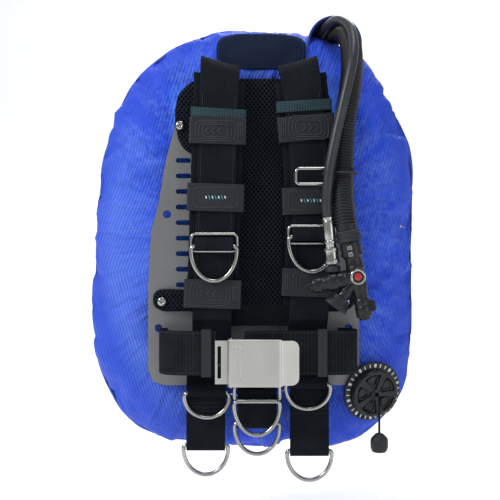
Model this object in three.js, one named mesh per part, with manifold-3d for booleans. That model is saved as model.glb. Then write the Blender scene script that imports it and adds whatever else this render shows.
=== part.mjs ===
// Backplate-and-wing buoyancy compensator, in millimetres, +Z up.
// The wearer's back lies against the -Y side and the tank against the +Y side, so the wearer's
// left is +X. The origin is on the tank side of the wing's centre panel, midway between the two
// tank bolts.
import * as THREE from "three";
import { mergeVertices } from "three/addons/utils/BufferGeometryUtils.js";
import Module from "manifold-3d";

const wasm = await Module();
wasm.setup();

// ---- driving dimensions ----
const GAP = 0.4; // between pieces that touch
const WING_WIDTH = 411;
const WING_HEIGHT = 546;
const WING_MIDDLE_Z = -6.5;
const WING_FRONT_BULGE = 33;
const WING_BACK_BULGE = 70;
const WING_SEAM_Y = 20; // outer seam
const WING_STEPS = 46; // facets along the air cell
const WING_SIDES = 12; // and round its section
const SHELL_WALL = 1.5;
const BLADDER_WALL = 1.2;
const PANEL_WIDTH = 124; // between the air cell's inner seams
const PANEL_HEIGHT = 416;
const PANEL_THICKNESS = 3;
const TANK_BOLT_PITCH = 279.4;
const TANK_BOLT_HOLE = 8.5;

const PLATE_THICKNESS = 3;
const PLATE_WIDTH = 274;
const PLATE_HEIGHT = 394;
const PLATE_DEPTH = 24; // from the channel floor to the flats
const CHANNEL_FLOOR = 68;
const CHANNEL_MOUTH = 124;
const SLOT_COUNT = 9;
const SLOT_PITCH = 20.2;
const SLOT_HEIGHT = 6.4;
const SLOT_LENGTH = 20;

const PAD_THICKNESS = 10;
const PAD_WIDTH = 150;
const PAD_TOP = 203;
const PAD_LOW = -122;
const WEBBING_WIDTH = 50;
const WEBBING = 2.5; // thickness
const SHOULDER_PAD_WIDTH = 66;
const SHOULDER_PAD = 8; // thickness
const KEEPER_WALL = 3;
const RING_WIRE = 5.4;
const RING_WIDTH = WEBBING_WIDTH + 2 * RING_WIRE + 2.6;
const SLIDE_WIRE = 4.4;
const BELT_HEIGHT = 56;
const BUCKLE_HEIGHT = 54;
const BUCKLE_SHEET = 1.8;

const HOSE_DIAMETER = 28;
const LP_DIAMETER = 12.5;
const CORD_DIAMETER = 3;
const VALVE_DIAMETER = 80;
const PORT_NECK = 14; // radius of a neck through the air cell's wall

// Depths of the layers, from the channel floor out to the wearer.
const FLOOR_BACK = -PANEL_THICKNESS - GAP;
const FLAT_BACK = FLOOR_BACK - PLATE_DEPTH;
const FLAT_FRONT = FLAT_BACK - PLATE_THICKNESS;
const PAD_FRONT = FLAT_FRONT - GAP - PAD_THICKNESS;
const STRAP_SPACE = 14; // room for the arm between the pad and the shoulder straps
const SHOULDER_PAD_Y = PAD_FRONT - STRAP_SPACE - SHOULDER_PAD / 2;
const WEBBING_Y = SHOULDER_PAD_Y - SHOULDER_PAD / 2 - GAP - WEBBING / 2;
const WEBBING_FRONT = WEBBING_Y - WEBBING / 2;
const SLIDE_Y = WEBBING_FRONT - GAP - SLIDE_WIRE / 2;
const RING_Y = WEBBING_FRONT - KEEPER_WALL - 1.6 - RING_WIRE / 2;
const BELT_Y = -82;
const BELT_Z = -150;

const FINISH = {
  wing: [0x3f5fd0, 0.75, 0],
  bladder: [0x9aa4b5, 0.5, 0],
  plate: [0x73746f, 0.45, 0.9],
  steel: [0xb9bab4, 0.3, 0.9],
  mesh: [0x0a0c12, 0.9, 0],
  webbing: [0x1a1e24, 0.85, 0],
  rubber: [0x32363b, 0.6, 0],
  plastic: [0x2a2c2f, 0.4, 0],
  hose: [0x3a3d42, 0.5, 0],
  red: [0xb02020, 0.4, 0],
};
const assembly = new THREE.Group();

// ---- solids ----
function signedVolume(positions) {
  const a = new THREE.Vector3();
  const b = new THREE.Vector3();
  const c = new THREE.Vector3();
  let volume = 0;
  for (let i = 0; i < positions.count; i += 3) {
    a.fromBufferAttribute(positions, i);
    b.fromBufferAttribute(positions, i + 1);
    c.fromBufferAttribute(positions, i + 2);
    volume += a.dot(b.cross(c)) / 6;
  }
  return volume;
}

// A closed geometry as a manifold solid with its faces pointing out.
function solidOf(geometry) {
  const loose = geometry.index ? geometry.toNonIndexed() : geometry;
  const bare = new THREE.BufferGeometry();
  bare.setAttribute("position", loose.getAttribute("position").clone());
  const inward = signedVolume(bare.getAttribute("position")) < 0;
  const merged = mergeVertices(bare, 1e-4);
  const triVerts = new Uint32Array(merged.index.array);
  if (inward) triVerts.reverse();
  const vertProperties = merged.getAttribute("position").array;
  return new wasm.Manifold(new wasm.Mesh({ numProp: 3, vertProperties, triVerts }));
}

function geometryOf(solid) {
  const mesh = solid.getMesh();
  const geometry = new THREE.BufferGeometry();
  geometry.setAttribute("position", new THREE.BufferAttribute(mesh.vertProperties, 3));
  geometry.setIndex(new THREE.BufferAttribute(mesh.triVerts, 1));
  geometry.computeVertexNormals();
  return geometry;
}

function join(solids) {
  return solids.reduce((sum, solid) => sum.add(solid));
}

function addPiece(group, name, solid, finish) {
  const [color, roughness, metalness] = FINISH[finish];
  const material = new THREE.MeshStandardMaterial({ color, roughness, metalness });
  const mesh = new THREE.Mesh(geometryOf(solid), material);
  mesh.name = name;
  group.add(mesh);
  return mesh;
}

function block(size, centre) {
  return solidOf(new THREE.BoxGeometry(...size).translate(...centre));
}

// A turned solid about +Z; profile is [radius, height] points.
function turned(profile, segments) {
  const points = profile.map(([r, z]) => new THREE.Vector2(r, z));
  return solidOf(new THREE.LatheGeometry(points, segments).rotateX(Math.PI / 2));
}

function cylinder(radius, from, to, segments = 16) {
  return turned([[0, from], [radius, from], [radius, to], [0, to]], segments);
}

// A solid about +Z, laid along another direction and moved.
function aimed(solid, direction, origin) {
  const up = new THREE.Vector3(0, 0, 1);
  const turn = new THREE.Quaternion().setFromUnitVectors(up, direction.clone().normalize());
  const matrix = new THREE.Matrix4().compose(origin, turn, new THREE.Vector3(1, 1, 1));
  return solid.transform(matrix.toArray());
}

// An outline in X and Z, given depth from yFront back to yBack.
function slab(shape, yFront, yBack, curveSegments = 6) {
  const depth = yBack - yFront;
  const geometry = new THREE.ExtrudeGeometry(shape, { depth, bevelEnabled: false, curveSegments });
  return solidOf(geometry.rotateX(Math.PI / 2).translate(0, yBack, 0));
}

function shapeOf(points) {
  return new THREE.Shape(points.map(([a, b]) => new THREE.Vector2(a, b)));
}

function roundedRectangle(width, height, radius, x = 0, y = 0) {
  const shape = new THREE.Shape();
  const a = width / 2 - radius;
  const b = height / 2 - radius;
  shape.absarc(x + a, y + b, radius, 0, Math.PI / 2);
  shape.absarc(x - a, y + b, radius, Math.PI / 2, Math.PI);
  shape.absarc(x - a, y - b, radius, Math.PI, 1.5 * Math.PI);
  shape.absarc(x + a, y - b, radius, 1.5 * Math.PI, 2 * Math.PI);
  return shape;
}

// A flat strip bent along a smooth path in its side view; lay(across, a, b) puts a point of it
// in the part's frame, from its place across the strip and in the side view.
function strip(path, thickness, width, steps, lay) {
  const curve = new THREE.SplineCurve(path.map(([a, b]) => new THREE.Vector2(a, b)));
  const geometry = new THREE.BoxGeometry(width, thickness, 1, 1, 1, steps);
  const positions = geometry.getAttribute("position");
  for (let i = 0; i < positions.count; i++) {
    const share = THREE.MathUtils.clamp(positions.getZ(i) + 0.5, 0, 1);
    const along = curve.getTangentAt(share);
    const out = positions.getY(i);
    const middle = curve.getPointAt(share);
    const point = lay(positions.getX(i), middle.x - along.y * out, middle.y + along.x * out);
    positions.setXYZ(i, point.x, point.y, point.z);
  }
  return solidOf(geometry);
}

function hangingStrip(path, thickness, width, steps, x) {
  return strip(path, thickness, width, steps, (across, y, z) => {
    return new THREE.Vector3(x + across, y, z);
  });
}

function standingStrip(path, thickness, height, z, steps) {
  return strip(path, thickness, height, steps, (across, x, y) => {
    return new THREE.Vector3(x, y, z + across);
  });
}

function tube(route, radius, sides, steps) {
  const curve = new THREE.CatmullRomCurve3(route.map((point) => new THREE.Vector3(...point)));
  const ring = [];
  for (let i = 0; i < sides; i++) {
    const angle = (2 * Math.PI * i) / sides;
    ring.push(new THREE.Vector2(radius * Math.cos(angle), radius * Math.sin(angle)));
  }
  const settings = { steps, extrudePath: curve, bevelEnabled: false };
  return solidOf(new THREE.ExtrudeGeometry(new THREE.Shape(ring), settings));
}

// A closed ring whose vertices are placed by place(u, v), with u along it and v round it.
function closedRing(steps, sides, place) {
  const geometry = new THREE.TorusGeometry(2, 1, sides, steps);
  const positions = geometry.getAttribute("position");
  const uv = geometry.getAttribute("uv");
  for (let i = 0; i < positions.count; i++) {
    const u = Math.round(uv.getX(i) * steps) % steps;
    const v = Math.round(uv.getY(i) * sides) % sides;
    const point = place(u / steps, v / sides);
    positions.setXYZ(i, point.x, point.y, point.z);
  }
  return solidOf(geometry);
}

// A closed loop of round wire whose middle follows an outline in X and Z.
function wireLoop(shape, diameter, steps, sides = 8) {
  const points = shape.getSpacedPoints(steps).slice(0, steps);
  return closedRing(steps, sides, (u, v) => {
    const i = Math.round(u * steps);
    const before = points[(i + steps - 1) % steps];
    const after = points[(i + 1) % steps];
    const along = after.clone().sub(before).normalize();
    const angle = 2 * Math.PI * v;
    const out = (Math.cos(angle) * diameter) / 2;
    const deep = (Math.sin(angle) * diameter) / 2;
    return new THREE.Vector3(points[i].x + along.y * out, deep, points[i].y - along.x * out);
  });
}

// ---- wing: air cell, bladder, centre panel, hose hood ----
// The outer seam from the top, round by the wearer's right, in shares of half the wing's size.
const WING_OUTLINE = [
  [0, 0.998], [-0.268, 0.984], [-0.491, 0.918], [-0.72, 0.782], [-0.847, 0.614],
  [-0.929, 0.434], [-0.983, 0.134], [-1, -0.16], [-0.998, -0.452], [-0.968, -0.632],
  [-0.783, -0.874], [-0.526, -0.962], [-0.219, -0.987], [0.097, -0.995], [0.229, -0.969],
  [0.414, -0.995], [0.633, -0.973], [0.847, -0.83], [0.959, -0.672], [0.998, -0.452],
  [1, -0.086], [0.988, 0.423], [0.842, 0.672], [0.696, 0.863], [0.487, 0.947], [0.268, 0.987],
];
const wingSeam = new THREE.CatmullRomCurve3(
  WING_OUTLINE.map(([x, z]) => new THREE.Vector3(x, 0, z)),
  true,
  "centripetal",
);

// A point of the oblong that the air cell's inner seam follows, at an angle from +X.
function panelEdge(angle, inset) {
  const round = 0.42;
  const bend = (value) => Math.sign(value) * Math.abs(value) ** round;
  return new THREE.Vector2(
    (PANEL_WIDTH / 2 - inset) * bend(Math.cos(angle)),
    WING_MIDDLE_Z + (PANEL_HEIGHT / 2 - inset) * bend(Math.sin(angle)),
  );
}

// The air cell's surface: u runs along its seams, v round its section, inset goes inwards.
function wingPoint(u, v, inset = 0) {
  const share = wingSeam.getPoint(u);
  const angle = Math.atan2(share.z, share.x);
  const inner = panelEdge(angle, 0);
  const outer = new THREE.Vector2(
    (share.x * WING_WIDTH) / 2,
    WING_MIDDLE_Z + (share.z * WING_HEIGHT) / 2,
  );
  const length = inner.distanceTo(outer);
  const turn = 2 * Math.PI * v;
  const across = 0.5 + (0.5 - inset / length) * Math.cos(turn);
  const flat = inner.lerp(outer, across);
  const ends = Math.sin(angle) ** 2;
  const front = WING_FRONT_BULGE - 11 * ends - inset;
  const back = WING_BACK_BULGE - 28 * ends - inset;
  const middle = -1.5 + (WING_SEAM_Y + 1.5) * across;
  const side = Math.sin(turn);
  return new THREE.Vector3(flat.x, middle + side * (side > 0 ? back : front), flat.y);
}

function airCell(inset) {
  return closedRing(WING_STEPS, WING_SIDES, (u, v) => wingPoint(u, v, inset));
}

function wingNormal(u, v) {
  const step = 0.002;
  const along = wingPoint(u + step, v).sub(wingPoint(u - step, v));
  const round = wingPoint(u, v + step).sub(wingPoint(u, v - step));
  return round.cross(along).normalize();
}

const VALVE_AT = { u: 0.673, v: 0.826 };
const ELBOW_AT = { u: 0.896, v: 0.25 };
const valveCentre = wingPoint(VALVE_AT.u, VALVE_AT.v);
const valveAxis = wingNormal(VALVE_AT.u, VALVE_AT.v);
const elbowFoot = wingPoint(ELBOW_AT.u, ELBOW_AT.v);
const backwards = new THREE.Vector3(0, 1, 0);

function portHole(centre, axis, clearance) {
  return aimed(cylinder(PORT_NECK + clearance, -22, 12), axis, centre);
}

function addWing() {
  const filled = airCell(0);
  const shell = filled
    .subtract(airCell(SHELL_WALL))
    .subtract(portHole(valveCentre, valveAxis, GAP))
    .subtract(portHole(elbowFoot, backwards, GAP));
  addPiece(assembly, "wing_outer_shell", shell, "wing");

  const inside = SHELL_WALL + 1.5;
  const bladder = airCell(inside)
    .subtract(airCell(inside + BLADDER_WALL))
    .subtract(portHole(valveCentre, valveAxis, 2))
    .subtract(portHole(elbowFoot, backwards, 2));
  addPiece(assembly, "wing_bladder", bladder, "bladder");

  const edge = [];
  for (let i = 0; i < 40; i++) {
    const point = panelEdge((2 * Math.PI * (i + 0.5)) / 40, 2 * GAP);
    edge.push([point.x, point.y]);
  }
  const holes = [-1, 1].map((side) => {
    const centre = new THREE.Vector3(0, 0, (side * TANK_BOLT_PITCH) / 2);
    return aimed(cylinder(TANK_BOLT_HOLE / 2, -20, 20, 20), backwards, centre);
  });
  const panel = slab(shapeOf(edge), -PANEL_THICKNESS, 0).subtract(join(holes));
  addPiece(assembly, "wing_center_panel", panel, "wing");
  addHood();
}

// The fabric tunnel that the two hoses come through over the wing's top edge.
const HOOD = {
  x: 0.2628 * WING_WIDTH,
  z: WING_MIDDLE_Z + WING_HEIGHT / 2 - 12.5,
  radius: 36,
  wall: 1.5,
  front: -4,
  back: 40,
  leg: 36,
};
function addHood() {
  const arch = (radius) => {
    const shape = new THREE.Shape();
    shape.moveTo(HOOD.x + radius, HOOD.z - HOOD.leg);
    shape.absarc(HOOD.x, HOOD.z, radius, 0, Math.PI);
    shape.lineTo(HOOD.x - radius, HOOD.z - HOOD.leg);
    return shape;
  };
  const tunnel = slab(arch(HOOD.radius), HOOD.front, HOOD.back, 14)
    .subtract(slab(arch(HOOD.radius - HOOD.wall), HOOD.front - 5, HOOD.back + 5, 14))
    .subtract(airCell(-GAP - 0.4))
    .subtract(block([100, 100, 400], [HOOD.x, 20, HOOD.z - HOOD.leg - 200]));
  addPiece(assembly, "hose_hood", tunnel.decompose()[0], "wing");
}

// ---- backplate and back pad ----
const SCREWS = [
  ["right_upper", -94.5, 139],
  ["left_upper", 94.5, 139],
  ["right_lower", -118, -88],
  ["left_lower", 118, -88],
];
const SCREW_RADIUS = 3;

function plateOutline() {
  const w = PLATE_WIDTH / 2;
  const h = PLATE_HEIGHT / 2;
  const side = [
    [w - 20, -h], [w - 6, -h + 5], [w, -h + 20], [w, -h + 130], [w - 4, -h + 200],
    [w - 14, -h + 238], [w - 23, -h + 292], [w - 34, h - 60], [w - 46, h - 14], [w - 60, h],
  ];
  const mirrored = side.map(([x, z]) => [-x, z]).reverse();
  return shapeOf([...side, ...mirrored]);
}

function addPlate() {
  const f = CHANNEL_FLOOR / 2;
  const m = CHANNEL_MOUTH / 2;
  const w = PLATE_WIDTH / 2 + 5;
  const lean = PLATE_THICKNESS * 0.4;
  const back = [[-w, FLAT_BACK], [-m, FLAT_BACK], [-f, FLOOR_BACK], [f, FLOOR_BACK]];
  const rim = [[m, FLAT_BACK], [w, FLAT_BACK], [w, FLAT_FRONT], [m - lean, FLAT_FRONT]];
  const floor = FLOOR_BACK - PLATE_THICKNESS;
  const front = [[f - lean, floor], [-f + lean, floor], [-m + lean, FLAT_FRONT], [-w, FLAT_FRONT]];
  const bent = new THREE.ExtrudeGeometry(shapeOf([...back, ...rim, ...front]), {
    depth: PLATE_HEIGHT + 10,
    bevelEnabled: false,
  });
  bent.translate(0, 0, -PLATE_HEIGHT / 2 - 5);
  const cuts = [];
  const cut = (shape) => cuts.push(slab(shape, FLAT_FRONT - 5, 5, 2));
  for (const side of [-1, 1]) {
    for (let i = 0; i < SLOT_COUNT; i++) {
      const z = 95 - SLOT_PITCH * i;
      cut(roundedRectangle(SLOT_LENGTH, SLOT_HEIGHT, SLOT_HEIGHT / 2 - 0.1, side * 91, z));
    }
    cut(roundedRectangle(10.5, 10.5, 5.2, side * 112.5, 25));
    cut(roundedRectangle(10.5, 10.5, 5.2, side * 123.4, -123));
    cut(roundedRectangle(TANK_BOLT_HOLE, TANK_BOLT_HOLE, 4.2, 0, (side * TANK_BOLT_PITCH) / 2));
  }
  for (const [, x, z] of SCREWS) cut(roundedRectangle(7, 7, 3.4, x, z));
  const plate = solidOf(bent)
    .intersect(slab(plateOutline(), FLAT_FRONT - 5, 5))
    .subtract(join(cuts));
  addPiece(assembly, "backplate", plate, "plate");
}

function addBackPad() {
  const middle = (PAD_TOP + PAD_LOW) / 2;
  const back = FLAT_FRONT - GAP;
  const body = slab(roundedRectangle(PAD_WIDTH, PAD_TOP - PAD_LOW, 20, 0, middle), PAD_FRONT, back, 3);
  const ears = slab(roundedRectangle(207, 106, 40, 0, PAD_TOP - 53), PAD_FRONT, back, 4);
  const tabs = slab(roundedRectangle(268, 31, 15.4, 0, -88), PAD_FRONT, back, 4);
  const holes = SCREWS.map(([, x, z]) =>
    slab(roundedRectangle(7.6, 7.6, 3.7, x, z), PAD_FRONT - 5, back + 5, 3),
  );
  const pad = join([body, ears, tabs]).subtract(join(holes));
  addPiece(assembly, "back_pad", pad, "mesh");

  const length = PAD_THICKNESS + PLATE_THICKNESS + 2;
  const profile = [[0, -length], [SCREW_RADIUS, -length], [SCREW_RADIUS, GAP], [6.2, GAP]];
  const screw = turned([...profile, [6, 2], [4, 3.6], [0, 4]], 10);
  for (const [place, x, z] of SCREWS) {
    const mesh = addPiece(assembly, `${place}_pad_screw`, screw, "steel");
    mesh.position.set(x, PAD_FRONT, z);
    mesh.rotation.x = Math.PI / 2;
  }
}

// ---- shoulder straps ----
// How each strap lies: its middle at height z, and the side on which its folded top is higher.
const STRAPS = {
  right: { side: -1, middle: (z) => -49.3 + 0.032 * z, ringZ: -17, slideZ: -12.1 },
  left: { side: 1, middle: (z) => 73 - 0.00033 * (z + 5) ** 2, ringZ: -5, slideZ: -2.1 },
};
const STRAP_TOP_SLANT = 0.33;
const PAD_BOTTOM = -94;
const KEEPERS = {
  right: [["upper", 129, 33], ["middle", 45, 35], ["lower", -77, 36]],
  left: [["upper", 133, 32], ["middle", 41, 34], ["lower", -63, 35]],
};

// A shoulder strap's strip, drifting sideways with its height and slanted over its folded top.
function shoulderStrip(strap, path, thickness, width, steps) {
  return strip(path, thickness, width, steps, (across, y, z) => {
    const front = THREE.MathUtils.clamp((FLAT_FRONT - 2 - y) / 15, 0, 1);
    const rise = Math.max(0, (z - 150) / 70) * STRAP_TOP_SLANT * across * strap.side * front;
    return new THREE.Vector3(across + strap.middle(z), y, z + rise);
  });
}

function addShoulderStraps() {
  const y = SHOULDER_PAD_Y;
  const padPath = [[y, PAD_BOTTOM], [y, 40], [y, 165], [y + 1.5, 185], [y + 5, 198]];
  const overPad = PAD_TOP + 3.5;
  const front = WEBBING_Y;
  const webPath = [
    [FLAT_FRONT - 5, -168], [FLAT_FRONT - 12, -150], [front + 12, -128], [front + 4, -112],
    [front, PAD_BOTTOM - 6], [front, 0], [front, 90], [front, 170], [front + 1.5, 190],
    [front + 7, 209], [front + 18, 219.5], [front + 28, 217], [FLAT_FRONT, overPad],
  ];
  for (const [name, strap] of Object.entries(STRAPS)) {
    const pad = shoulderStrip(strap, padPath, SHOULDER_PAD, SHOULDER_PAD_WIDTH, 14);
    addPiece(assembly, `${name}_shoulder_pad`, pad, "webbing");
    const web = shoulderStrip(strap, webPath, WEBBING, WEBBING_WIDTH, 34);
    addPiece(assembly, `${name}_shoulder_webbing`, web, "webbing");
    for (const [place, z, height] of KEEPERS[name]) {
      const keeper = addPiece(assembly, `${name}_${place}_keeper`, strapKeeper(height), "rubber");
      keeper.position.set(strap.middle(z), 0, z);
      keeper.rotation.y = Math.atan(strap.middle(z + 0.5) - strap.middle(z - 0.5));
    }
  }
}

// A moulded sleeve round the shoulder pad and its webbing.
function strapKeeper(height) {
  const back = SHOULDER_PAD_Y + SHOULDER_PAD / 2 + GAP;
  const front = WEBBING_FRONT - GAP;
  const lean = 3; // room for the strap's drift across the keeper's height
  const inner = block(
    [SHOULDER_PAD_WIDTH + 2 * GAP + lean, back - front, height + 10],
    [0, (back + front) / 2, 0],
  );
  const width = SHOULDER_PAD_WIDTH + 2 * GAP + lean + KEEPER_WALL;
  const shape = roundedRectangle(width, back - front + KEEPER_WALL + 1.5, 3, 0, 0);
  const depth = { depth: height, bevelEnabled: false, curveSegments: 3 };
  const middle = (back + 1.5 + front - KEEPER_WALL) / 2;
  const outer = new THREE.ExtrudeGeometry(shape, depth).translate(0, middle, -height / 2);
  return solidOf(outer).subtract(inner);
}

// ---- rings and slides ----
// A D of round wire: its bar's middle is at the origin and its bow hangs down.
function ringShape(width, height) {
  const w = (width - RING_WIRE) / 2;
  const drop = height - RING_WIRE;
  const shape = new THREE.Shape();
  const shoulder = 4;
  shape.moveTo(w - shoulder, 0);
  shape.absarc(w - shoulder, -shoulder, shoulder, Math.PI / 2, 0, true);
  shape.absellipse(0, -shoulder, w, drop - shoulder, 0, -Math.PI, true);
  shape.absarc(-w + shoulder, -shoulder, shoulder, Math.PI, Math.PI / 2, true);
  shape.closePath();
  return shape;
}

const RINGS = [
  ["right_shoulder_ring", STRAPS.right.middle(-12), RING_Y, STRAPS.right.ringZ, 49],
  ["left_shoulder_ring", STRAPS.left.middle(-2), RING_Y, STRAPS.left.ringZ, 49],
  ["right_hip_ring", -59.5, -53.5, -204, 37],
  ["left_hip_ring", 69.5, -53.5, -193, 37],
  ["right_end_ring", -61.3, -46, -272, 43],
  ["left_end_ring", 71.7, -46, -279, 43],
  ["crotch_front_ring", 4.5, -66, -213, 48],
  ["crotch_rear_ring", 4.5, -49.5, -243, 45],
];

function addRings() {
  for (const [name, x, y, z, height] of RINGS) {
    const width = name.includes("hip") ? RING_WIDTH - 0.6 : RING_WIDTH;
    const ring = wireLoop(ringShape(width, height), RING_WIRE, 32);
    addPiece(assembly, name, ring, "steel").position.set(x, y, z);
  }
}

// The wire ring on the left strap that the hose's elastic loop passes through.
const RETAINER = { x: 73, y: SLIDE_Y - 7.5, z: 71 };
function addSlides() {
  const slide = (width, height) =>
    wireLoop(roundedRectangle(width - SLIDE_WIRE, height - SLIDE_WIRE, 5), SLIDE_WIRE, 18, 6);
  for (const [name, strap] of Object.entries(STRAPS)) {
    const mesh = addPiece(assembly, `${name}_shoulder_slide`, slide(62, 26), "steel");
    mesh.position.set(strap.middle(strap.slideZ), SLIDE_Y, strap.slideZ);
  }
  const retainer = addPiece(assembly, "hose_retainer_ring", slide(44, 24), "steel");
  retainer.position.set(RETAINER.x, RETAINER.y, RETAINER.z);
  addPiece(assembly, "crotch_slide", slide(62, 24), "steel").position.set(4.5, -61, -203);
}

// ---- lower straps ----
function addDropStraps() {
  for (const [name, ring] of [["right", "right_end_ring"], ["left", "left_end_ring"]]) {
    const [, x, y, z] = RINGS.find((row) => row[0] === ring);
    const turn = RING_WIRE / 2 + 1.9 + WEBBING / 2;
    const path = [
      [FLAT_FRONT - 4, -172], [FLAT_FRONT - 8, -184], [y - 1, -205], [y - 2, z + 26],
      [y - turn + 0.6, z + 9], [y - turn, z], [y, z - turn], [y + turn, z],
      [y + turn - 1.5, z + 9], [y + 1.6, z + 24], [y + 1.6, z + 38],
    ];
    const strap = hangingStrip(path, WEBBING, WEBBING_WIDTH, 36, x);
    addPiece(assembly, `${name}_drop_strap`, strap, "webbing");
  }
}

function addCrotchStrap() {
  const [, x, y, z] = RINGS.find((row) => row[0] === "crotch_rear_ring");
  const turn = RING_WIRE / 2 + 1.9 + WEBBING / 2;
  const path = [
    [FLAT_FRONT - 4, -182], [FLAT_FRONT - 10, -196], [y + 4.5, -215], [y + turn, z + 8],
    [y + turn, z], [y, z - turn], [y - turn, z], [y - turn, z + 10], [y - turn, -218],
    [y - turn, -206], [y - turn - 1.6, -200],
  ];
  const strap = hangingStrip(path, WEBBING, WEBBING_WIDTH, 36, x);
  addPiece(assembly, "crotch_strap", strap, "webbing");
}

function addBelts() {
  const y = BELT_Y;
  const start = FLAT_FRONT - 3;
  const rightPath = [
    [-112, start], [-119, start - 12], [-118, start - 28], [-109, y + 6], [-88, y - 1.5],
    [-62, y - 2.5], [-47, y - 2.5],
  ];
  const leftPath = [
    [110, start], [127, start - 8], [131, start - 26], [124, y + 9], [106, y + 3],
    [80, y + 2], [40, y + 2], [-12, y + 2],
  ];
  const right = standingStrip(rightPath, WEBBING, BELT_HEIGHT, BELT_Z, 22);
  const left = standingStrip(leftPath, WEBBING, BELT_HEIGHT, BELT_Z, 28);
  addPiece(assembly, "right_waist_belt", right, "webbing");
  addPiece(assembly, "left_waist_belt", left, "webbing");
  for (const [name, x, beltY] of [["right", -59, y - 2.5], ["left", 86, y + 2]]) {
    const depth = WEBBING + 2 * GAP + 1.6;
    const inner = block([40, depth, BELT_HEIGHT + 2 * GAP], [x, beltY, BELT_Z]);
    const outer = block([12, depth + 2.4, BELT_HEIGHT + 2 * GAP + 2.4], [x, beltY, BELT_Z]);
    addPiece(assembly, `${name}_belt_keeper`, outer.subtract(inner), "webbing");
  }
}

// ---- cam buckle ----
const BUCKLE = { x: -28, y: -96, z: -161 };
const PIN_RADIUS = 2;
const EAR = 2.5;

function addBuckle() {
  const group = new THREE.Group();
  group.position.set(BUCKLE.x, BUCKLE.y, BUCKLE.z);
  assembly.add(group);
  const half = BUCKLE_HEIGHT / 2;
  const pinHole = cylinder(PIN_RADIUS + GAP, -half - 20, half + 20);
  const sheet = block([30, BUCKLE_SHEET, BUCKLE_HEIGHT], [-5, 7.7, 0]);
  const window = block([5, 10, BUCKLE_HEIGHT - 14], [-15, 7.7, 0]);
  const ears = [-1, 1].map((side) =>
    block([5.2, 10.5, EAR], [0, 2.3, side * (half - EAR / 2)]),
  );
  const base = join([sheet.subtract(window), ...ears]).subtract(pinHole);
  addPiece(group, "buckle_base", base, "steel");

  const leverPath = [
    [-1.8, -4.9], [3, -5.6], [12, -6], [35, -6], [58, -6], [64, -3.5], [84, 1.5],
  ];
  const height = BUCKLE_HEIGHT + 2 * GAP + 2 * BUCKLE_SHEET;
  const face = standingStrip(leverPath, BUCKLE_SHEET, height, 0, 26);
  const flangeShape = shapeOf([
    [-3.2, 2.4], [-4, -2.5], [-2, -4.6], [3, -5.6], [12, -6], [58, -6], [50, -2.5], [24, 1],
    [6, 3.4],
  ]);
  const flanges = [-1, 1].map((side) => {
    const depth = { depth: BUCKLE_SHEET, bevelEnabled: false };
    const geometry = new THREE.ExtrudeGeometry(flangeShape, depth);
    const middle = side * (height / 2 - BUCKLE_SHEET / 2);
    return solidOf(geometry.translate(0, 0, middle - BUCKLE_SHEET / 2));
  });
  const corners = [-1, 1].map((side) => {
    const geometry = new THREE.BoxGeometry(14, 30, 14).rotateY(Math.PI / 4);
    return solidOf(geometry.translate(86, 0, (side * height) / 2));
  });
  const lever = join([face, ...flanges]).subtract(join([pinHole, ...corners]));
  addPiece(group, "buckle_lever", lever, "steel");
  const reach = height / 2 + 1.5;
  addPiece(group, "buckle_pin", cylinder(PIN_RADIUS, -reach, reach, 12), "steel");
}

// ---- hoses ----
const HOSE_ROUTE = [
  [95, 93, 224], [95, 93, 228.5], [95.7, 89.8, 241], [98.6, 80.5, 254], [103.2, 65, 264.8],
  [109, 43, 271.5], [114.5, 18, 272.5], [119, -10, 267], [122.3, -37, 255.5], [124, -59, 235.5],
  [123.7, -72, 211], [121.5, -79, 186], [117.3, -83, 159],
  [113.3, -84, 130], [111.5, -85, 100], [110.4, -89.5, 70], [110, -97.5, 44],
  [110.9, -101.8, 28], [112.6, -103.6, 14], [114.9, -104, 2.6],
];
const LP_ROUTE = [
  [90.7, -104, 19.2], [89.5, -104, 31], [90.3, -106, 54], [92.9, -106.7, 79], [98.3, -105.7, 108],
  [104.4, -104, 135], [111, -103, 163], [117, -101, 189], [122, -96.5, 213], [124.5, -84.5, 238],
  [121, -65, 262], [110.5, -37, 276.5], [98.5, -6, 276], [90.5, 22, 270], [83, 50, 267],
  [76, 78, 258.5], [73, 101, 240], [72.5, 113, 214], [72.5, 116, 190], [72.5, 116, 168],
];

function addHoses() {
  const hoseRadius = HOSE_DIAMETER / 2;
  const hose = tube(HOSE_ROUTE, hoseRadius, 10, 44);
  addPiece(assembly, "corrugated_hose", hose, "hose");
  const lpHose = tube(LP_ROUTE, LP_DIAMETER / 2, 8, 44);
  addPiece(assembly, "lp_hose", lpHose, "hose");

  const [x, y, z] = LP_ROUTE.at(-1);
  const profile = [[0, -GAP], [7.2, -GAP], [7.2, -19], [8.5, -19.5], [8.5, -27], [5.6, -27.5]];
  const fitting = turned([...profile, [5.6, -38], [0, -38]], 12);
  addPiece(assembly, "lp_fitting", fitting, "steel").position.set(x, y, z);
  addElbow();
  addBungee();
}

// The elbow that carries air from the hose down into the back of the air cell.
function addElbow() {
  const [x, y, z] = HOSE_ROUTE[0];
  const foot = elbowFoot;
  const lift = 4; // clears the bulge beside the port
  const neck = turned([[0, -8], [PORT_NECK - 1, -8], [PORT_NECK - 1, lift], [24, lift],
    [24, lift + 4], [12, lift + 6], [12, y - foot.y], [0, y - foot.y]], 20);
  const riser = cylinder(13.5, foot.z - 11, z - GAP, 20).translate([x, y, 0]);
  const bead = cylinder(15.5, z - 10, z - 6, 20).translate([x, y, 0]);
  addPiece(assembly, "hose_elbow", join([aimed(neck, backwards, foot), riser, bead]), "plastic");
}

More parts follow.
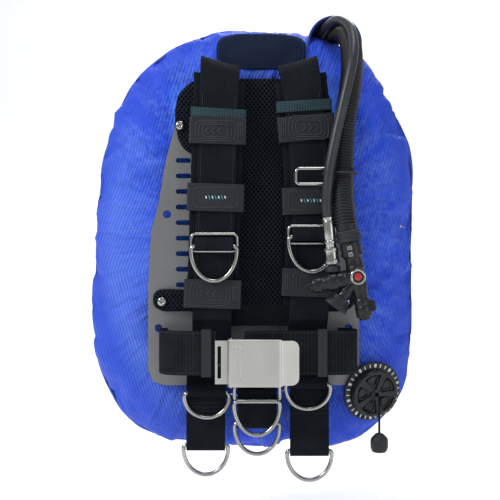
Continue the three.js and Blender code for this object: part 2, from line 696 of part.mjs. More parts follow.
// An elastic loop round the hose and through the retainer ring on the shoulder strap.
function addBungee() {
  const hose = { x: 110.5, y: -88.8, r: HOSE_DIAMETER / 2 + 3 };
  const bar = { x: RETAINER.x + 22 - SLIDE_WIRE / 2, y: RETAINER.y, r: 6 };
  const between = Math.hypot(bar.x - hose.x, bar.y - hose.y);
  const heading = Math.atan2(bar.y - hose.y, bar.x - hose.x);
  const spread = Math.acos((hose.r - bar.r) / between);
  const shape = new THREE.Shape();
  shape.absarc(hose.x, hose.y, hose.r, heading + spread, heading - spread + 2 * Math.PI);
  shape.absarc(bar.x, bar.y, bar.r, heading - spread, heading + spread);
  const loop = wireLoop(shape, 3.6, 32, 6).rotate([-90, 0, 0]);
  addPiece(assembly, "hose_bungee", loop.translate([0, 0, 74]), "webbing");
}

// ---- power inflator ----
const INFLATOR_TILT = -0.2;
const ARM_Z = -58;
const ARM_END = -56;
const BRANCH_LENGTH = 30.5;
const BUTTON_TRAVEL = 3.5;
const END_Z = -108;
const NIPPLE_X = -28;
const SOCKET_TOP = 75;

function addInflator() {
  const group = new THREE.Group();
  group.position.set(...HOSE_ROUTE.at(-1));
  group.rotation.y = INFLATOR_TILT;
  assembly.add(group);
  const leftward = new THREE.Vector3(-1, 0, 0);
  const mouthward = new THREE.Vector3(-Math.sin(0.82), 0, -Math.cos(0.82));
  const armRoot = new THREE.Vector3(0, 0, ARM_Z);

  addPiece(group, "hose_cuff", turned([[11.4, -1], [14.8, -1], [14.8, -14],
    [11.4, -14], [11.4, -1]], 16), "rubber");

  const spine = turned([[0, -1], [11, -1], [11, -14.5], [13, -14.5], [13, -32], [10.5, -35],
    [10.5, -72], [8.5, -80], [8.5, -85], [10, -87], [10, END_Z], [0, END_Z]], 18);
  const arm = turned([[0, 0], [10.5, 0], [10.5, 24], [12.2, 26], [12.2, 35], [9.8, 37],
    [9.8, -ARM_END], [0, -ARM_END]], 18);
  const branch = cylinder(8.5, 0, BRANCH_LENGTH, 14);
  const lug = block([9, 9, 14], [11, 0, END_Z + 12]);
  const armPocket = cylinder(7.6, -ARM_END - 11, -ARM_END + 5, 16);
  const endPocket = cylinder(7.6, END_Z - 5, END_Z + 11, 16);
  const nippleSeat = cylinder(5.4, ARM_Z, ARM_Z + 20, 12).translate([NIPPLE_X, 0, 0]);
  const body = join([spine, aimed(arm, leftward, armRoot), aimed(branch, mouthward, armRoot), lug])
    .subtract(aimed(armPocket, leftward, armRoot))
    .subtract(endPocket)
    .subtract(nippleSeat);
  addPiece(group, "inflator_body", body, "plastic");

  const inflate = cylinder(7.1, -ARM_END - 11 + BUTTON_TRAVEL + GAP, -ARM_END + 3.6, 14);
  addPiece(group, "inflate_button", aimed(inflate, leftward, armRoot), "plastic");
  const deflate = cylinder(7.1, END_Z - 4, END_Z + 11 - BUTTON_TRAVEL - GAP, 14);
  addPiece(group, "deflate_button", deflate, "plastic");
  addMouthpiece(group, mouthward, armRoot);
  addQuickConnect(group);
}

function addMouthpiece(group, direction, root) {
  const start = BRANCH_LENGTH + GAP;
  const profile = [[0, start], [8, start], [8.5, start + 5], [11.5, start + 11],
    [12, start + 16], [9, start + 16], [7, start + 10], [5.5, start + 3], [0, start + 3]];
  const bell = turned(profile, 16).scale([1.35, 0.95, 1]);
  addPiece(group, "mouthpiece", aimed(bell, direction, root), "rubber");
}

// The low-pressure hose's quick connector on its nipple; both stand in the arm.
function addQuickConnect(parent) {
  const group = new THREE.Group();
  group.position.set(NIPPLE_X, 0, ARM_Z + 4);
  group.rotation.y = 0.1;
  parent.add(group);
  const nipple = turned([[0, -2.5], [4.6, -2.5], [4.6, 7.8], [9.5, 8], [9.5, 14], [5, 16],
    [5, 26], [0, 26]], 14);
  addPiece(group, "qd_nipple", nipple, "rubber");
  const socket = turned([[5.4, 17], [7, 17], [7, 42], [8, 42.5], [8, 45.5], [7.5, 46],
    [7.5, SOCKET_TOP], [0, SOCKET_TOP], [0, 27], [5.4, 27], [5.4, 17]], 16);
  addPiece(group, "qd_socket", socket, "steel");
  const sleeve = turned([[7.4, 18], [9, 18], [9, 22], [8.4, 24], [8.4, 32], [9, 34], [9, 37],
    [7.4, 37], [7.4, 18]], 16);
  addPiece(group, "qd_sleeve", sleeve, "steel");
}

// ---- dump valve ----
const PULL_ROUTE = [
  [156.85, -26.58, -206.98], [159.75, -35.33, -208.84], [161, -39.1, -209.7],
  [161.8, -41.2, -212.5], [162, -41.6, -220], [162, -41.6, -232], [162, -41.6, -246],
  [162, -41.6, -257],
];

function addDumpValve() {
  const group = new THREE.Group();
  group.position.copy(valveCentre);
  group.quaternion.setFromUnitVectors(new THREE.Vector3(0, 0, 1), valveAxis);
  assembly.add(group);
  const rim = VALVE_DIAMETER / 2;
  const neck = PORT_NECK - 1;
  const foot = 9.2; // clears the bulge round the port and the plate's corner
  const base = turned([[9, -7], [neck, -7], [neck, foot], [rim, foot], [rim, foot + 4],
    [29, foot + 5], [29, foot + 9], [26, foot + 9], [26, foot + 3], [9, foot + 3], [9, -7]], 28);
  addPiece(group, "dump_valve_base", base, "plastic");
  const skirt = foot + 5 + GAP;
  const cap = turned([[2.6, foot + 12], [29.4, foot + 12], [29.4, skirt], [31.4, skirt],
    [31.4, foot + 13], [28, foot + 16], [2.6, foot + 17], [2.6, foot + 12]], 28);
  addPiece(group, "dump_valve_cap", cap, "plastic");
  const disc = turned([[0, foot + 3.4], [14, foot + 3.4], [14, foot + 5.4], [3, foot + 5.4],
    [3, foot + 7], [0, foot + 7]], 14);
  addPiece(group, "dump_valve_disc", disc, "rubber");
  addPiece(assembly, "pull_cord", tube(PULL_ROUTE, CORD_DIAMETER / 2, 8, 22), "webbing");
  const [x, y, z] = PULL_ROUTE.at(-1);
  const knob = turned([[0, -GAP], [5, -GAP], [11, -7], [11.5, -20], [9, -25], [0, -25]], 8);
  addPiece(assembly, "pull_knob", knob, "rubber").position.set(x, y, z);
}

addWing();
addPlate();
addBackPad();
addShoulderStraps();
addRings();
addSlides();
addDropStraps();
addCrotchStrap();
addBelts();
addBuckle();
addHoses();
addInflator();
addDumpValve();

export default assembly;
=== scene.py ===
"""Looks of a backplate-and-wing buoyancy compensator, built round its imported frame."""
import logging
import math
from collections.abc import Callable, Iterable, Sequence
from dataclasses import dataclass, field
from enum import Enum
from functools import cached_property

import bmesh
import bpy
import numpy as np
from mathutils import Matrix, Vector
from mathutils.bvhtree import BVHTree


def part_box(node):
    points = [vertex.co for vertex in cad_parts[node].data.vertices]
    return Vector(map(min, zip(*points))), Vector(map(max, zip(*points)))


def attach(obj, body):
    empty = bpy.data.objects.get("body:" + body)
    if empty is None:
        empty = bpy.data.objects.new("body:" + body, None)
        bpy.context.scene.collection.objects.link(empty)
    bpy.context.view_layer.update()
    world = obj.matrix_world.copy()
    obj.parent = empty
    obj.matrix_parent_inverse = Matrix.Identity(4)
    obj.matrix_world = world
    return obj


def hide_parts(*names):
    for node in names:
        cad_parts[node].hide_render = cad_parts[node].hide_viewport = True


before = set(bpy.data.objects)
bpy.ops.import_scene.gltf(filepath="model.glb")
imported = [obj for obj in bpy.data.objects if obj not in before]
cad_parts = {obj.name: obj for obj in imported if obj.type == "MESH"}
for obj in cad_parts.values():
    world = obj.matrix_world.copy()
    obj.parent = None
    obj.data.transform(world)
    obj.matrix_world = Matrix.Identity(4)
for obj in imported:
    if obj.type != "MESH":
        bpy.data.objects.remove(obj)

logging.basicConfig(level=logging.INFO, format="%(name)s: %(message)s")
LOG = logging.getLogger("wing")

MM = 0.001
HARNESS = "harness_and_wing"
CLOTH_FRAMES = 14
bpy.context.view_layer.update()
Point = Sequence[float]
Colour = tuple[float, float, float]


# ---- shader maths ----
class Field:
    """A socket that shader maths can be written on."""

    def __init__(self, graph: "Graph", socket: bpy.types.NodeSocket) -> None:
        """Keeps the socket and the graph that it belongs to."""
        self.graph = graph
        self.socket = socket

    def __add__(self, other: "Field | float") -> "Field":
        """Sum of two values."""
        return self.graph.math("ADD", self, other)

    def __sub__(self, other: "Field | float") -> "Field":
        """Difference of two values."""
        return self.graph.math("SUBTRACT", self, other)

    def __rsub__(self, other: float) -> "Field":
        """A number less this value."""
        return self.graph.math("SUBTRACT", other, self)

    def __mul__(self, other: "Field | float") -> "Field":
        """Product of two values."""
        return self.graph.math("MULTIPLY", self, other)

    def __truediv__(self, other: "Field | float") -> "Field":
        """Ratio of two values."""
        return self.graph.math("DIVIDE", self, other)

    def __abs__(self) -> "Field":
        """Size without sign."""
        return self.graph.math("ABSOLUTE", self)

    __radd__ = __add__
    __rmul__ = __mul__


class Graph:
    """A material's nodes, made by type, settings and inputs."""

    def __init__(self, name: str) -> None:
        """Starts an empty material with a Principled shader.

        Args:
            name: The material's name.
        """
        self.material = bpy.data.materials.new(f"{name}_look")
        self.material.use_nodes = True
        self.nodes = self.material.node_tree.nodes
        self.links = self.material.node_tree.links
        self.shader = self.nodes["Principled BSDF"]
        self._places: Field | None = None

    def node(self, kind: str, settings: dict | None = None, inputs: dict | None = None,
             output: int | str = 0) -> Field:
        """Makes one node.

        Args:
            kind: The node's type without its ShaderNode prefix.
            settings: Attributes, set before the inputs.
            inputs: Values or fields by socket name or number.
            output: Which output to return.

        Returns:
            The output as a field.
        """
        made = self.nodes.new("ShaderNode" + kind)
        for key, value in (settings or {}).items():
            setattr(made, key, value)
        for key, value in (inputs or {}).items():
            self.feed(made.inputs[key], value)
        return Field(self, made.outputs[output])

    def feed(self, socket: bpy.types.NodeSocket, value: object) -> None:
        """Links a field to a socket, or sets a plain value on it."""
        if isinstance(value, Field):
            self.links.new(value.socket, socket)
        elif isinstance(value, tuple) and len(value) == 3 and socket.type == "RGBA":
            socket.default_value = (*value, 1)
        else:
            socket.default_value = value

    def math(self, operation: str, *values: object) -> Field:
        """A Math node of an operation on values."""
        return self.node("Math", {"operation": operation}, dict(enumerate(values)))

    def vector(self, operation: str, *values: object) -> Field:
        """A Vector Math node of an operation on vectors."""
        return self.node("VectorMath", {"operation": operation}, dict(enumerate(values)))

    def mix(self, share: object, first: object, second: object) -> Field:
        """A colour between two, by share."""
        return self.node("Mix", {"data_type": "RGBA"}, {0: share, 6: first, 7: second}, 2)

    def place(self) -> Field:
        """Object coordinates, in metres."""
        if self._places is None:
            self._places = self.node("TexCoord", output="Object")
        return self._places

    def uv(self) -> tuple[Field, Field]:
        """The distances along and across a woven strip, in metres."""
        split = self.node("SeparateXYZ", inputs={0: self.node("TexCoord", output="UV")})
        return split, Field(self, split.socket.node.outputs[1])

    def axes(self) -> tuple[Field, Field, Field]:
        """Object coordinates as three values."""
        split = self.node("SeparateXYZ", inputs={0: self.place()})
        outs = split.socket.node.outputs
        return split, Field(self, outs[1]), Field(self, outs[2])

    def noise(self, scale: float, detail: float = 3, vector: Field | None = None,
              rough: float = 0.5) -> Field:
        """Fractal noise from 0 to 1."""
        inputs = {"Vector": vector or self.place(), "Scale": scale, "Detail": detail,
                  "Roughness": rough}
        return self.node("TexNoise", inputs=inputs)

    def ramp(self, value: Field, low: float, high: float, start: float = 0,
             end: float = 1) -> Field:
        """A value carried from one range to another, and clamped."""
        inputs = {0: value, 1: low, 2: high, 3: start, 4: end}
        return self.node("MapRange", inputs=inputs)

    def sine(self, distance: Field, pitch: float) -> Field:
        """A wave from -1 to 1 with that pitch in metres."""
        return self.math("SINE", distance * (2 * math.pi / pitch))

    def bump(self, height: Field, depth: float, strength: float = 1,
             below: Field | None = None) -> Field:
        """A bump of that depth in metres, over another one if given."""
        inputs: dict = {"Height": height, "Distance": depth, "Strength": strength}
        if below:
            inputs["Normal"] = below
        return self.node("Bump", inputs=inputs)

    def finish(self, sockets: dict) -> bpy.types.Material:
        """Feeds the shader's sockets and returns the material."""
        for key, value in sockets.items():
            self.feed(self.shader.inputs[key], value)
        return self.material


# ---- finishes ----
@dataclass(frozen=True)
class WovenShell:
    """Coated twill of the air cell, puckered towards its seams, with painted shade at its rim and
    painted light on its left side and behind the plate.
    """

    name: str
    colour: Colour
    # pale: the colour of the random pale patches, also used as painted light on the left side
    pale: Colour
    # dark: the colour of the random dark patches and the twill's lines, also used as painted shade at
    # the rim
    dark: Colour
    pucker: float = 0.0085
    twill: float = 0.0042
    weave: float = 0.0011
    # lit: painted light, the bright colour laid on the wing behind the plate's slots
    lit: Colour = (0.06, 0.2, 1.0)
    half_width: float = 0.20
    half_height: float = 0.27
    middle: float = -0.0065

    def build(self) -> bpy.types.Material:
        """Makes the material."""
        g = Graph(self.name)
        x, y, z = g.axes()
        across = x / self.half_width
        up = (z - self.middle) / self.half_height
        reach = g.math("SQRT", across * across + up * up + 0.0004)
        spokes = g.node("CombineXYZ", inputs={0: across / reach, 1: up / reach,
                                             2: reach * self.half_width})
        puckers = g.noise(25, 2, spokes, 0.5)
        folds = g.noise(9, 2, spokes, 0.45)
        lumps = g.noise(34, 4)
        fine = g.noise(150, 3)
        weave = g.sine(x + y * 0.4, self.weave) * g.sine(z + y * 0.4, self.weave)
        warp = g.noise(3.2, 1) * 0.05 + g.noise(14, 1) * 0.006
        twill = g.sine(x * 0.93 - abs(z + 0.05) * 0.30 + warp, self.twill)
        height = puckers * 0.6 + folds * 0.5 + lumps * 0.3 + fine * 0.05
        soft = g.bump(height, self.pucker, 1.0)
        normal = g.bump(twill * 0.8 + weave * 0.25, 0.00035, 0.8, soft)
        tone = g.mix(g.ramp(puckers * 0.5 + lumps * 0.5, 0.36, 0.66), self.dark, self.colour)
        worn = g.mix(g.ramp(fine * 0.5 + folds * 0.5, 0.42, 0.72), tone, self.pale)
        # painted light: the left side, which faces the key light, is mixed towards the pale colour
        shade = g.mix(g.ramp(across + up * 0.35, -1.0, -0.5, 0.8, 0), worn, self.pale)
        shade = g.mix(g.ramp(twill, -1, 1, 0.6, 0), shade, self.dark)
        # painted shade: the colour darkens towards the outer seam, where the cell turns away from the
        # light
        shade = g.mix(g.ramp(reach, 0.93, 1.06, 0, 0.75), shade, self.dark)
        # painted light: the wing behind the plate's slots, which lies in the plate's shadow, is
        # brightened to the lit colour
        under = g.ramp(abs(x), 0.104, 0.112, 1, 0) * g.ramp(abs(z), 0.185, 0.2, 1, 0)
        shade = g.mix(under, shade, self.lit)
        return g.finish({"Base Color": shade, "Roughness": g.ramp(lumps, 0.3, 0.7, 0.5, 0.68),
                         "Specular IOR Level": 0.28, "Sheen Weight": 0.06, "Normal": normal})


@dataclass(frozen=True)
class Webbing:
    """Woven strap with ribs along it and picks across it."""

    name: str
    colour: Colour
    rib: float = 0.0026
    pick: float = 0.0021

    def build(self) -> bpy.types.Material:
        """Makes the material."""
        g = Graph(self.name)
        along, across = g.uv()
        ribs = g.sine(across, self.rib)
        picks = g.sine(along + abs(ribs) * (self.pick * 0.3), self.pick)
        weave = ribs * 0.5 + picks * 0.5
        fuzz = g.noise(900, 2)
        wear = g.noise(38, 4)
        light = tuple(min(1.0, 1.9 * c + 0.003) for c in self.colour)
        dark = tuple(0.5 * c for c in self.colour)
        tone = g.mix(g.ramp(weave, -0.6, 1.0, 0, 1), dark, light)
        tone = g.mix(g.ramp(wear * 0.7 + fuzz * 0.3, 0.45, 0.75, 0, 0.8), tone, light)
        normal = g.bump(weave + fuzz * 0.4, 0.0004, 0.8)
        return g.finish({"Base Color": tone, "Roughness": g.ramp(weave, -1, 1, 0.92, 0.7),
                         "Specular IOR Level": 0.08, "Normal": normal})


@dataclass(frozen=True)
class PaddingCloth:
    """Tight woven cover or spacer mesh with a diamond net of holes."""

    name: str
    colour: Colour
    light: Colour
    cell: float = 0.0042
    depth: float = 0.0009

    def build(self) -> bpy.types.Material:
        """Makes the material."""
        g = Graph(self.name)
        x, y, z = g.axes()
        wobble = (g.noise(60, 2) - 0.5) * (self.cell * 0.5)
        first = g.sine(x + z * 0.8 + wobble, self.cell)
        second = g.sine(x - z * 0.8 + wobble + y * 0.5, self.cell)
        net = g.math("MAXIMUM", first, second)
        fibre = g.noise(700, 2)
        sag = g.noise(24, 3)
        tone = g.mix(g.ramp(net, 0.35, 1), self.colour, self.light)
        tone = g.mix(g.ramp(sag, 0.45, 0.8, 0, 0.25), tone, self.light)
        normal = g.bump(sag, 0.004, 0.6)
        normal = g.bump(net + fibre * 0.25, self.depth, 0.9, normal)
        return g.finish({"Base Color": tone, "Roughness": g.ramp(net, 0, 1, 0.95, 0.68),
                         "Specular IOR Level": 0.08, "Normal": normal})


@dataclass(frozen=True)
class Metal:
    """Stainless steel, from satin sheet to polished wire."""

    name: str
    colour: Colour
    rough: float
    grain: float = 0.0
    stain: float = 0.25
    metallic: float = 1.0
    stretch: Point = (1, 1, 1)

    def build(self) -> bpy.types.Material:
        """Makes the material."""
        g = Graph(self.name)
        stretched = g.vector("MULTIPLY", g.place(), tuple(self.stretch))
        brushed = g.noise(900, 2, stretched)
        cloud = g.noise(11, 5, rough=0.62)
        specks = g.noise(260, 3)
        dull = tuple(c * (1 - self.stain) for c in self.colour)
        tone = g.mix(g.ramp(cloud, 0.35, 0.68), dull, self.colour)
        tone = g.mix(g.ramp(specks, 0.66, 0.78, 0, 0.45), tone, dull)
        rough = g.ramp(cloud * 0.6 + brushed * 0.4, 0.3, 0.7, self.rough * 0.8, self.rough * 1.25)
        height = brushed * self.grain + cloud * 0.3
        return g.finish({"Base Color": tone, "Metallic": self.metallic, "Roughness": rough,
                         "Normal": g.bump(height, 0.0002, 0.5)})


@dataclass(frozen=True)
class Moulded:
    """Moulded rubber or plastic with a fine grain, scuffs and dust."""

    name: str
    colour: Colour
    scuff: Colour
    rough: float = 0.5
    grain: float = 0.00012
    coat: float = 0.0
    shine: float = 0.36

    def build(self) -> bpy.types.Material:
        """Makes the material."""
        g = Graph(self.name)
        fine = g.noise(1200, 2)
        cloud = g.noise(22, 4)
        marks = g.noise(70, 5, g.vector("MULTIPLY", g.place(), (1, 1, 0.25)), 0.68)
        tone = g.mix(g.ramp(cloud, 0.4, 0.75, 0, 0.45), self.colour, self.scuff)
        tone = g.mix(g.ramp(marks, 0.6, 0.74, 0, 0.6), tone, self.scuff)
        rough = g.ramp(marks * 0.5 + cloud * 0.5, 0.35, 0.65, self.rough * 0.82, self.rough * 1.2)
        normal = g.bump(cloud, 0.0006, 0.3)
        return g.finish({"Base Color": tone, "Roughness": rough, "Coat Weight": self.coat,
                         "Specular IOR Level": self.shine,
                         "Normal": g.bump(fine, self.grain, 0.7, normal)})


@dataclass(frozen=True)
class Backdrop:
    """Plain pale paper."""

    name: str
    colour: Colour

    def build(self) -> bpy.types.Material:
        """Makes the material."""
        g = Graph(self.name)
        tone = g.mix(g.noise(3, 2), self.colour, tuple(0.985 * c for c in self.colour))
        return g.finish({"Base Color": tone, "Roughness": 0.9, "Specular IOR Level": 0.1})


class Finish(Enum):
    """Every finish on the object."""

    WING = WovenShell("wing_nylon", (0.024, 0.098, 0.86), (0.120, 0.235, 0.80),
                      (0.011, 0.056, 0.60))
    # the hood is the wing's nylon in darker colours: painted shade on the tunnel round the hoses
    HOOD = WovenShell("hood_nylon", (0.012, 0.040, 0.33), (0.03, 0.075, 0.46), (0.006, 0.022, 0.22))
    PIPING = Webbing("seam_piping", (0.03, 0.06, 0.26), 0.0011, 0.0011)
    WEB = Webbing("webbing", (0.0058, 0.0080, 0.0118))
    BELT = Webbing("belt_webbing", (0.0080, 0.0096, 0.0125), 0.0019, 0.0044)
    ELASTIC = Webbing("elastic_band", (0.026, 0.048, 0.058), 0.0019, 0.0034)
    MESH = PaddingCloth("pad_mesh", (0.0010, 0.0014, 0.0030), (0.016, 0.021, 0.032), 0.0056)
    PADDING = PaddingCloth("strap_padding", (0.0042, 0.0056, 0.0085), (0.011, 0.014, 0.019), 0.0016,
                           0.0003)
    LUMBAR = PaddingCloth("lumbar_band", (0.008, 0.009, 0.013), (0.014, 0.016, 0.02), 0.0012,
                          0.0002)
    LABEL = PaddingCloth("wing_label", (0.009, 0.015, 0.038), (0.016, 0.024, 0.052), 0.001, 0.0001)
    PLATE = Metal("satin_plate", (0.232, 0.235, 0.240), 0.4, 0.6, 0.12, 0.45, (1, 1, 0.04))
    STEEL = Metal("polished_steel", (0.48, 0.485, 0.465), 0.17, 0.3, 0.3)
    BUCKLE = Metal("satin_buckle", (0.62, 0.62, 0.585), 0.36, 0.8, 0.15, 0.9, (0.05, 1, 1))
    KEEPER = Moulded("keeper_rubber", (0.0095, 0.0122, 0.0165), (0.020, 0.024, 0.030), 0.5)
    RAISED = Moulded("keeper_relief", (0.022, 0.027, 0.034), (0.038, 0.044, 0.052), 0.45)
    PLASTIC = Moulded("black_plastic", (0.0085, 0.0095, 0.011), (0.022, 0.024, 0.027), 0.3)
    CUFF = Moulded("soft_rubber", (0.013, 0.016, 0.019), (0.028, 0.031, 0.035), 0.55)
    LP_RUBBER = Moulded("hose_rubber", (0.026, 0.030, 0.035), (0.055, 0.06, 0.068), 0.34)
    RIBBED = Moulded("ribbed_hose", (0.009, 0.010, 0.0115), (0.022, 0.024, 0.027), 0.36)
    TICK = Moulded("pale_tick", (0.78, 0.80, 0.80), (0.5, 0.52, 0.53), 0.6)
    TEAL = Moulded("teal_tick", (0.03, 0.22, 0.28), (0.05, 0.28, 0.33), 0.6)
    RED = Moulded("red_button", (0.45, 0.012, 0.012), (0.3, 0.02, 0.02), 0.3, 0.00005, 0.5)
    THREAD = Moulded("sewing_thread", (0.03, 0.034, 0.042), (0.06, 0.066, 0.078), 0.7)
    BLUE_THREAD = Moulded("blue_thread", (0.02, 0.05, 0.24), (0.04, 0.08, 0.34), 0.7)
    PAPER = Backdrop("pale_paper", (0.92, 0.92, 0.92))
    FILM = Moulded("bladder_film", (0.36, 0.40, 0.46), (0.44, 0.48, 0.54), 0.35)

    def material(self) -> bpy.types.Material:
        """The finish's material, made on its first use."""
        return bpy.data.materials.get(f"{self.value.name}_look") or self.value.build()


# ---- meshes ----
def millimetres(points: Iterable[Point]) -> np.ndarray:
    """Points in millimetres as an array in metres."""
    return np.array(list(points), float) * MM


def corners(mesh: bpy.types.Mesh) -> np.ndarray:
    """A mesh's vertices, one to a row."""
    return np.array([tuple(v.co) for v in mesh.vertices])


def distances(line: np.ndarray) -> np.ndarray:
    """How far along a line each of its points is."""
    return np.concatenate([[0], np.cumsum(np.linalg.norm(np.diff(line, axis=0), axis=1))])


def squarish(value: float, power: float) -> float:
    """A cosine or sine raised to a power with its sign kept, for outlines with full corners."""
    return math.copysign(abs(value) ** power, value)


def span(p1: np.ndarray, p2: np.ndarray, m1: np.ndarray, m2: np.ndarray,
         count: int) -> list[np.ndarray]:
    """Cubic samples from one point up to the next, with a slope at each."""
    return [p1 + m1 * t + (-3 * p1 + 3 * p2 - 2 * m1 - m2) * t ** 2
            + (2 * p1 - 2 * p2 + m1 + m2) * t ** 3 for t in np.arange(count) / count]


def catmull(points: np.ndarray, closed: bool = False, per_span: int = 16) -> np.ndarray:
    """A centripetal curve through points.

    Args:
        points: The points, one to a row.
        closed: Whether the curve comes back to its start.
        per_span: Samples between neighbouring points.

    Returns:
        The samples, one to a row.
    """
    pts = np.asarray(points, float)
    if closed:
        ring = np.vstack([pts[-1], pts, pts[0], pts[1]])
    else:
        ring = np.vstack([2 * pts[0] - pts[1], pts, 2 * pts[-1] - pts[-2]])
    samples = []
    for i in range(1, len(ring) - 2):
        p0, p1, p2, p3 = ring[i - 1:i + 3]
        d0, d1, d2 = (max(1e-9, np.linalg.norm(b - a) ** 0.5)
                      for a, b in ((p0, p1), (p1, p2), (p2, p3)))
        m1 = ((p1 - p0) / d0 - (p2 - p0) / (d0 + d1) + (p2 - p1) / d1) * d1
        m2 = ((p2 - p1) / d1 - (p3 - p1) / (d1 + d2) + (p3 - p2) / d2) * d1
        samples += span(p1, p2, m1, m2, per_span)
    if not closed:
        samples.append(ring[-2])
    return np.array(samples)


def uniform_spline(points: np.ndarray, count: int) -> np.ndarray:
    """A plain spline through points, at even distances along it.

    Args:
        points: The points, one to a row.
        count: Number of samples.

    Returns:
        The samples, one to a row.
    """
    pts = np.asarray(points, float)
    ring = np.vstack([pts[0], pts, pts[-1]])
    samples = []
    for i in range(1, len(ring) - 2):
        p0, p1, p2, p3 = ring[i - 1:i + 3]
        samples += span(p1, p2, (p2 - p0) / 2, (p3 - p1) / 2, 24)
    samples.append(pts[-1])
    return even(np.array(samples), count)


def even(line: np.ndarray, count: int) -> np.ndarray:
    """A line of points resampled at even distances."""
    gone = distances(line)
    at = np.linspace(0, gone[-1], count)
    return np.stack([np.interp(at, gone, line[:, k]) for k in range(line.shape[1])], 1)


def piece(name: str, vertices: Iterable[Point], faces: Iterable[Sequence[int]],
          finish: Finish, body: str = HARNESS, smooth: bool = True,
          uvs: np.ndarray | None = None) -> bpy.types.Object:
    """Makes a mesh object with a finish, riding on a body.

    Args:
        name: The piece's name.
        vertices: Corners in metres.
        faces: Corner numbers of each face.
        finish: What it is made of.
        body: The CAD body it moves with.
        smooth: Whether it is shaded smooth.
        uvs: One pair of distances for each vertex.

    Returns:
        The object.
    """
    mesh = bpy.data.meshes.new(name)
    mesh.from_pydata([tuple(v) for v in vertices], [], [tuple(f) for f in faces])
    mesh.validate()
    if uvs is not None:
        layer = mesh.uv_layers.new(name="weave")
        index = np.zeros(len(mesh.loops), np.int32)
        mesh.loops.foreach_get("vertex_index", index)
        layer.data.foreach_set("uv", np.asarray(uvs, np.float32)[index].ravel())
    mesh.polygons.foreach_set("use_smooth", [smooth] * len(mesh.polygons))
    mesh.materials.append(finish.material())
    made = bpy.data.objects.new(name, mesh)
    bpy.context.scene.collection.objects.link(made)
    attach(made, body)
    LOG.info("%s: %d faces on %s", name, len(mesh.polygons), body)
    return made


def grid_faces(rows: int, columns: int, wrap_rows: bool = False,
               wrap_columns: bool = True, start: int = 0) -> list[tuple[int, ...]]:
    """Quads over a grid of vertices, wrapped round on either side if asked."""
    faces = []
    for i in range(rows if wrap_rows else rows - 1):
        for j in range(columns if wrap_columns else columns - 1):
            a, b = i * columns, (i + 1) % rows * columns
            k = (j + 1) % columns
            faces.append((start + a + j, start + a + k, start + b + k, start + b + j))
    return faces


def tangents(line: np.ndarray) -> np.ndarray:
    """Unit directions along an open line, one to a point."""
    along = np.gradient(line, axis=0)
    return along / np.linalg.norm(along, axis=1)[:, None]


def sides_along(line: np.ndarray, closed: bool = False) -> tuple[np.ndarray, np.ndarray]:
    """Two side directions along a line, without twist.

    Args:
        line: Points in order.
        closed: Whether the last joins the first.

    Returns:
        First sides and second sides, one to a point.
    """
    if closed:
        tangent = np.roll(line, -1, 0) - np.roll(line, 1, 0)
        tangent /= np.linalg.norm(tangent, axis=1)[:, None]
    else:
        tangent = tangents(line)
    sides = []
    side = np.array([0.0, 1.0, 0.0]) if abs(tangent[0][1]) < 0.9 else np.array([1.0, 0.0, 0.0])
    for t in tangent:
        side = side - t * side.dot(t)
        side = side / np.linalg.norm(side)
        sides.append(side)
    first = np.array(sides)
    return first, np.cross(tangent, first)


def tube(name: str, line: np.ndarray, radius: float | np.ndarray, finish: Finish,
         body: str = HARNESS, sides: int = 20, closed: bool = False) -> bpy.types.Object:
    """A round tube along a line, capped at its ends unless closed.

    Args:
        name: The piece's name.
        line: Points in metres.
        radius: One radius, or one for each point.
        finish: What it is made of.
        body: The CAD body it moves with.
        sides: Facets round it.
        closed: Whether it is a loop.

    Returns:
        The object.
    """
    first, second = sides_along(line, closed)
    turns = 2 * math.pi * np.arange(sides) / sides
    radii = np.broadcast_to(np.asarray(radius, float), (len(line),))
    ring = (np.cos(turns)[None, :, None] * first[:, None]
            + np.sin(turns)[None, :, None] * second[:, None])
    verts = (line[:, None] + radii[:, None, None] * ring).reshape(-1, 3)
    faces = grid_faces(len(line), sides, wrap_rows=closed)
    if not closed:
        faces += [tuple(range(sides)), tuple(range(len(verts) - 1, len(verts) - sides - 1, -1))]
    gone = distances(line)
    uvs = np.stack([np.repeat(gone, sides), np.tile(turns, len(line)) * np.repeat(radii, sides)], 1)
    made = piece(name, verts, faces, finish, body, uvs=uvs)
    outward(made)
    return made


def outward(made: bpy.types.Object, weld: bool = False, fill: bool = False) -> None:
    """Turns a closed piece's faces out, after welding its vertices or filling its holes."""
    shape = bmesh.new()
    shape.from_mesh(made.data)
    if weld:
        bmesh.ops.remove_doubles(shape, verts=shape.verts, dist=1e-6)
    if fill:
        bmesh.ops.holes_fill(shape, edges=[e for e in shape.edges if e.is_boundary])
    bmesh.ops.recalc_face_normals(shape, faces=shape.faces)
    shape.to_mesh(made.data)
    shape.free()


def fit(made: bpy.types.Object, slot: str, *nodes: str) -> bpy.types.Object:
    """Hides the CAD nodes that a piece takes the place of, and returns the piece."""
    for node in nodes:
        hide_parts(node)
    return made


